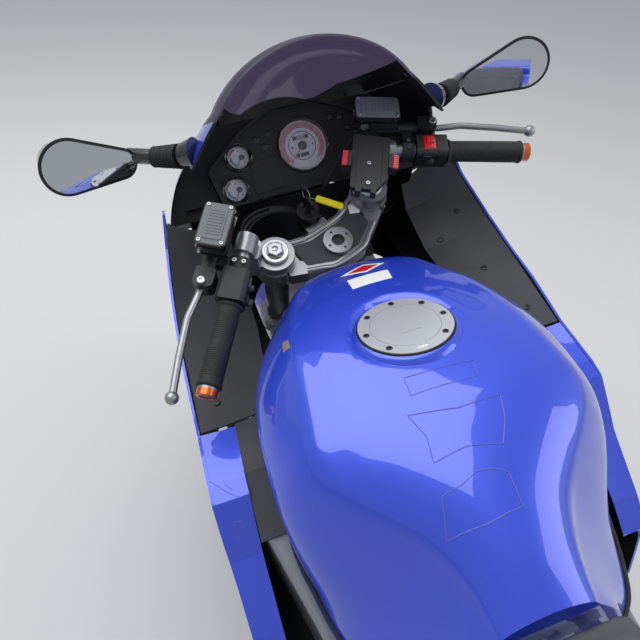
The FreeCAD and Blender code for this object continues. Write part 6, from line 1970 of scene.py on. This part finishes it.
@dataclass
class ShockTrim(SubAssembly):
    """Coil spring round the shock.

    Attributes:
        top: upper seat of the shock, mm.
        low: lower seat, mm.
        turns: turns of the coil.
    """

    top: tuple[float, float, float] = (0.0, 640.0, 585.0)
    low: tuple[float, float, float] = (0.0, 466.0, 456.0)
    turns: float = 6.5

    def build(self) -> None:
        """Wind the coil (x = r cos t, y = r sin t, height in proportion to t) and set its cups and damper."""
        top, low = np.array(self.top), np.array(self.low)
        way = unit(low - top)
        start, end = top + way * 17.3, low - way * 0.3
        length = float(np.linalg.norm(end - start))
        side = np.array([1.0, 0, 0])
        axes = self.machine.bike.inner(tuple(start), tuple(side), tuple(np.cross(way, side)))
        t = np.linspace(0, self.turns * 2 * math.pi, int(self.turns * 28))
        h = 18 + (length - 36) * t / t[-1]
        path = axes.points(np.stack([29.5 * np.cos(t), 29.5 * np.sin(t), h], 1))
        self.show("shock_spring", sweep(path, 5.2, 12), Look.SPRING)
        parts = [turned(axes, [(30, 0.3), (33, 2), (33, 12), (26, 13)], 36),
                 turned(axes, [(16, 0.5), (16, length * 0.5)], 28),
                 turned(axes, [(9, length * 0.5), (9, length - 6)], 24),
                 turned(axes, [(26, length - 13), (33, length - 12), (33, length - 2), (30, length - 0.3)],
                        36)]
        self.show("shock_damper", parts, Look.ENAMEL, 35, ("shock",))


def second_finish(machine: Machine, name: str, look: Look,
                  chosen: Callable[[np.ndarray, np.ndarray], np.ndarray]) -> None:
    """Give part of a CAD node's faces another finish.

    Args:
        machine: the machine's frames.
        name: the node.
        look: the other finish.
        chosen: tells which faces get it, from their middles in mm and their normals in the bike's frame.
    """
    mesh = frame["nodes"][name].data
    count = len(mesh.polygons)
    middles, normals = np.empty(count * 3), np.empty(count * 3)
    mesh.polygons.foreach_get("center", middles)
    mesh.polygons.foreach_get("normal", normals)
    turn = np.array([machine.bike.x, machine.bike.y, machine.bike.z]).T
    local = (middles.reshape(-1, 3) - machine.bike.origin) @ turn / MM
    mesh.materials.append(look.get())
    mesh.polygons.foreach_set("material_index", chosen(local, normals.reshape(-1, 3) @ turn).astype(np.int32))
    mesh.update()


def line_panels(machine: Machine) -> None:
    """Leave the inner faces of the painted panels unpainted black, and the mirror arms too."""
    def in_nose(p: np.ndarray, n: np.ndarray) -> np.ndarray:
        """Faces of the nose that look inward, down or back."""
        return (n[:, 0] * p[:, 0] / 150 + n[:, 2] * (p[:, 2] - 880) / 150 < 0.05) | (n[:, 1] < -0.8)

    def in_side(p: np.ndarray, n: np.ndarray) -> np.ndarray:
        """Faces of a side panel that look inward or down."""
        return (n[:, 0] * np.sign(p[:, 0]) < -0.3) | (n[:, 2] < -0.5)

    def not_back(p: np.ndarray, n: np.ndarray) -> np.ndarray:
        """Faces of the mirrors other than the shells' painted backs."""
        return (n[:, 1] < 0.25) | (np.abs(p[:, 0]) < 262)
    second_finish(machine, "nose_cowl", Look.BLACK, in_nose)
    for side in ("fairing_right", "fairing_left"):
        second_finish(machine, side, Look.BLACK, in_side)
    second_finish(machine, "front_mudguard", Look.BLACK, lambda p, n: n[:, 2] < -0.3)
    second_finish(machine, "mirrors", Look.PIANO, not_back)
    slope = math.radians(13)

    def on_plate(p: np.ndarray, _n: np.ndarray) -> np.ndarray:
        """Faces behind the plane of the blank plate."""
        return (p[:, 1] + 330) * math.cos(slope) - (p[:, 2] - 785) * math.sin(slope) < -3.05
    second_finish(machine, "rear_mudguard", Look.LABEL, on_plate)
    second_finish(machine, "front_lamps", Look.PIANO,
                  lambda p, n: (p[:, 1] < 1541) & (np.abs(p[:, 0]) <= 90.5))


def paint_frame() -> None:
    """Give every CAD node its finish."""
    for name, obj in frame["nodes"].items():
        obj.data.materials.clear()
        obj.data.materials.append(NODE_LOOKS[name].get())


def main() -> None:
    """Build the look of the whole machine."""
    logging.basicConfig(level=logging.INFO, format="%(message)s")
    bpy.context.scene.view_settings.view_transform = "Standard"
    machine = Machine()
    paint_frame()
    line_panels(machine)
    front = machine.fork.at((0, 38.0, -642.9))
    rear = machine.bike.at((0, 0, 315))
    parts: list[SubAssembly] = [
        Dash(machine, "chassis"), FuelCapTrim(machine, "chassis"), TankSkin(machine, "chassis"),
        TankTrim(machine, "chassis"),
        Bars(machine, "steering"), ClampTrim(machine, "steering"), PhoneHolderTrim(machine, "steering"),
        Shrouds(machine, "chassis"),
        ScreenTrim(machine, "chassis"), MirrorTrim(machine, "chassis"), Seat(machine, "chassis"),
        ChainDrive(machine, "chassis"), BrakeTrim(machine, "front_wheel"), EngineTrim(machine, "chassis"),
        ExhaustTrim(machine, "chassis"), LampTrim(machine, "chassis"), PanelTrim(machine, "chassis"),
        RearTrim(machine, "rear_wheel"), ShockTrim(machine, "chassis"),
        Tyre(machine, "front_wheel", "front_tyre_tread", "front_tyre", front, 300, 60, 60, 44, 86, 26),
        Tyre(machine, "rear_wheel", "rear_tyre_tread", "rear_tyre", rear, 315, 95, 90, 70, 112, 24),
    ]
    for part in parts:
        part.build()
    Studio(machine).build()


if __name__ == "__main__":
    main()
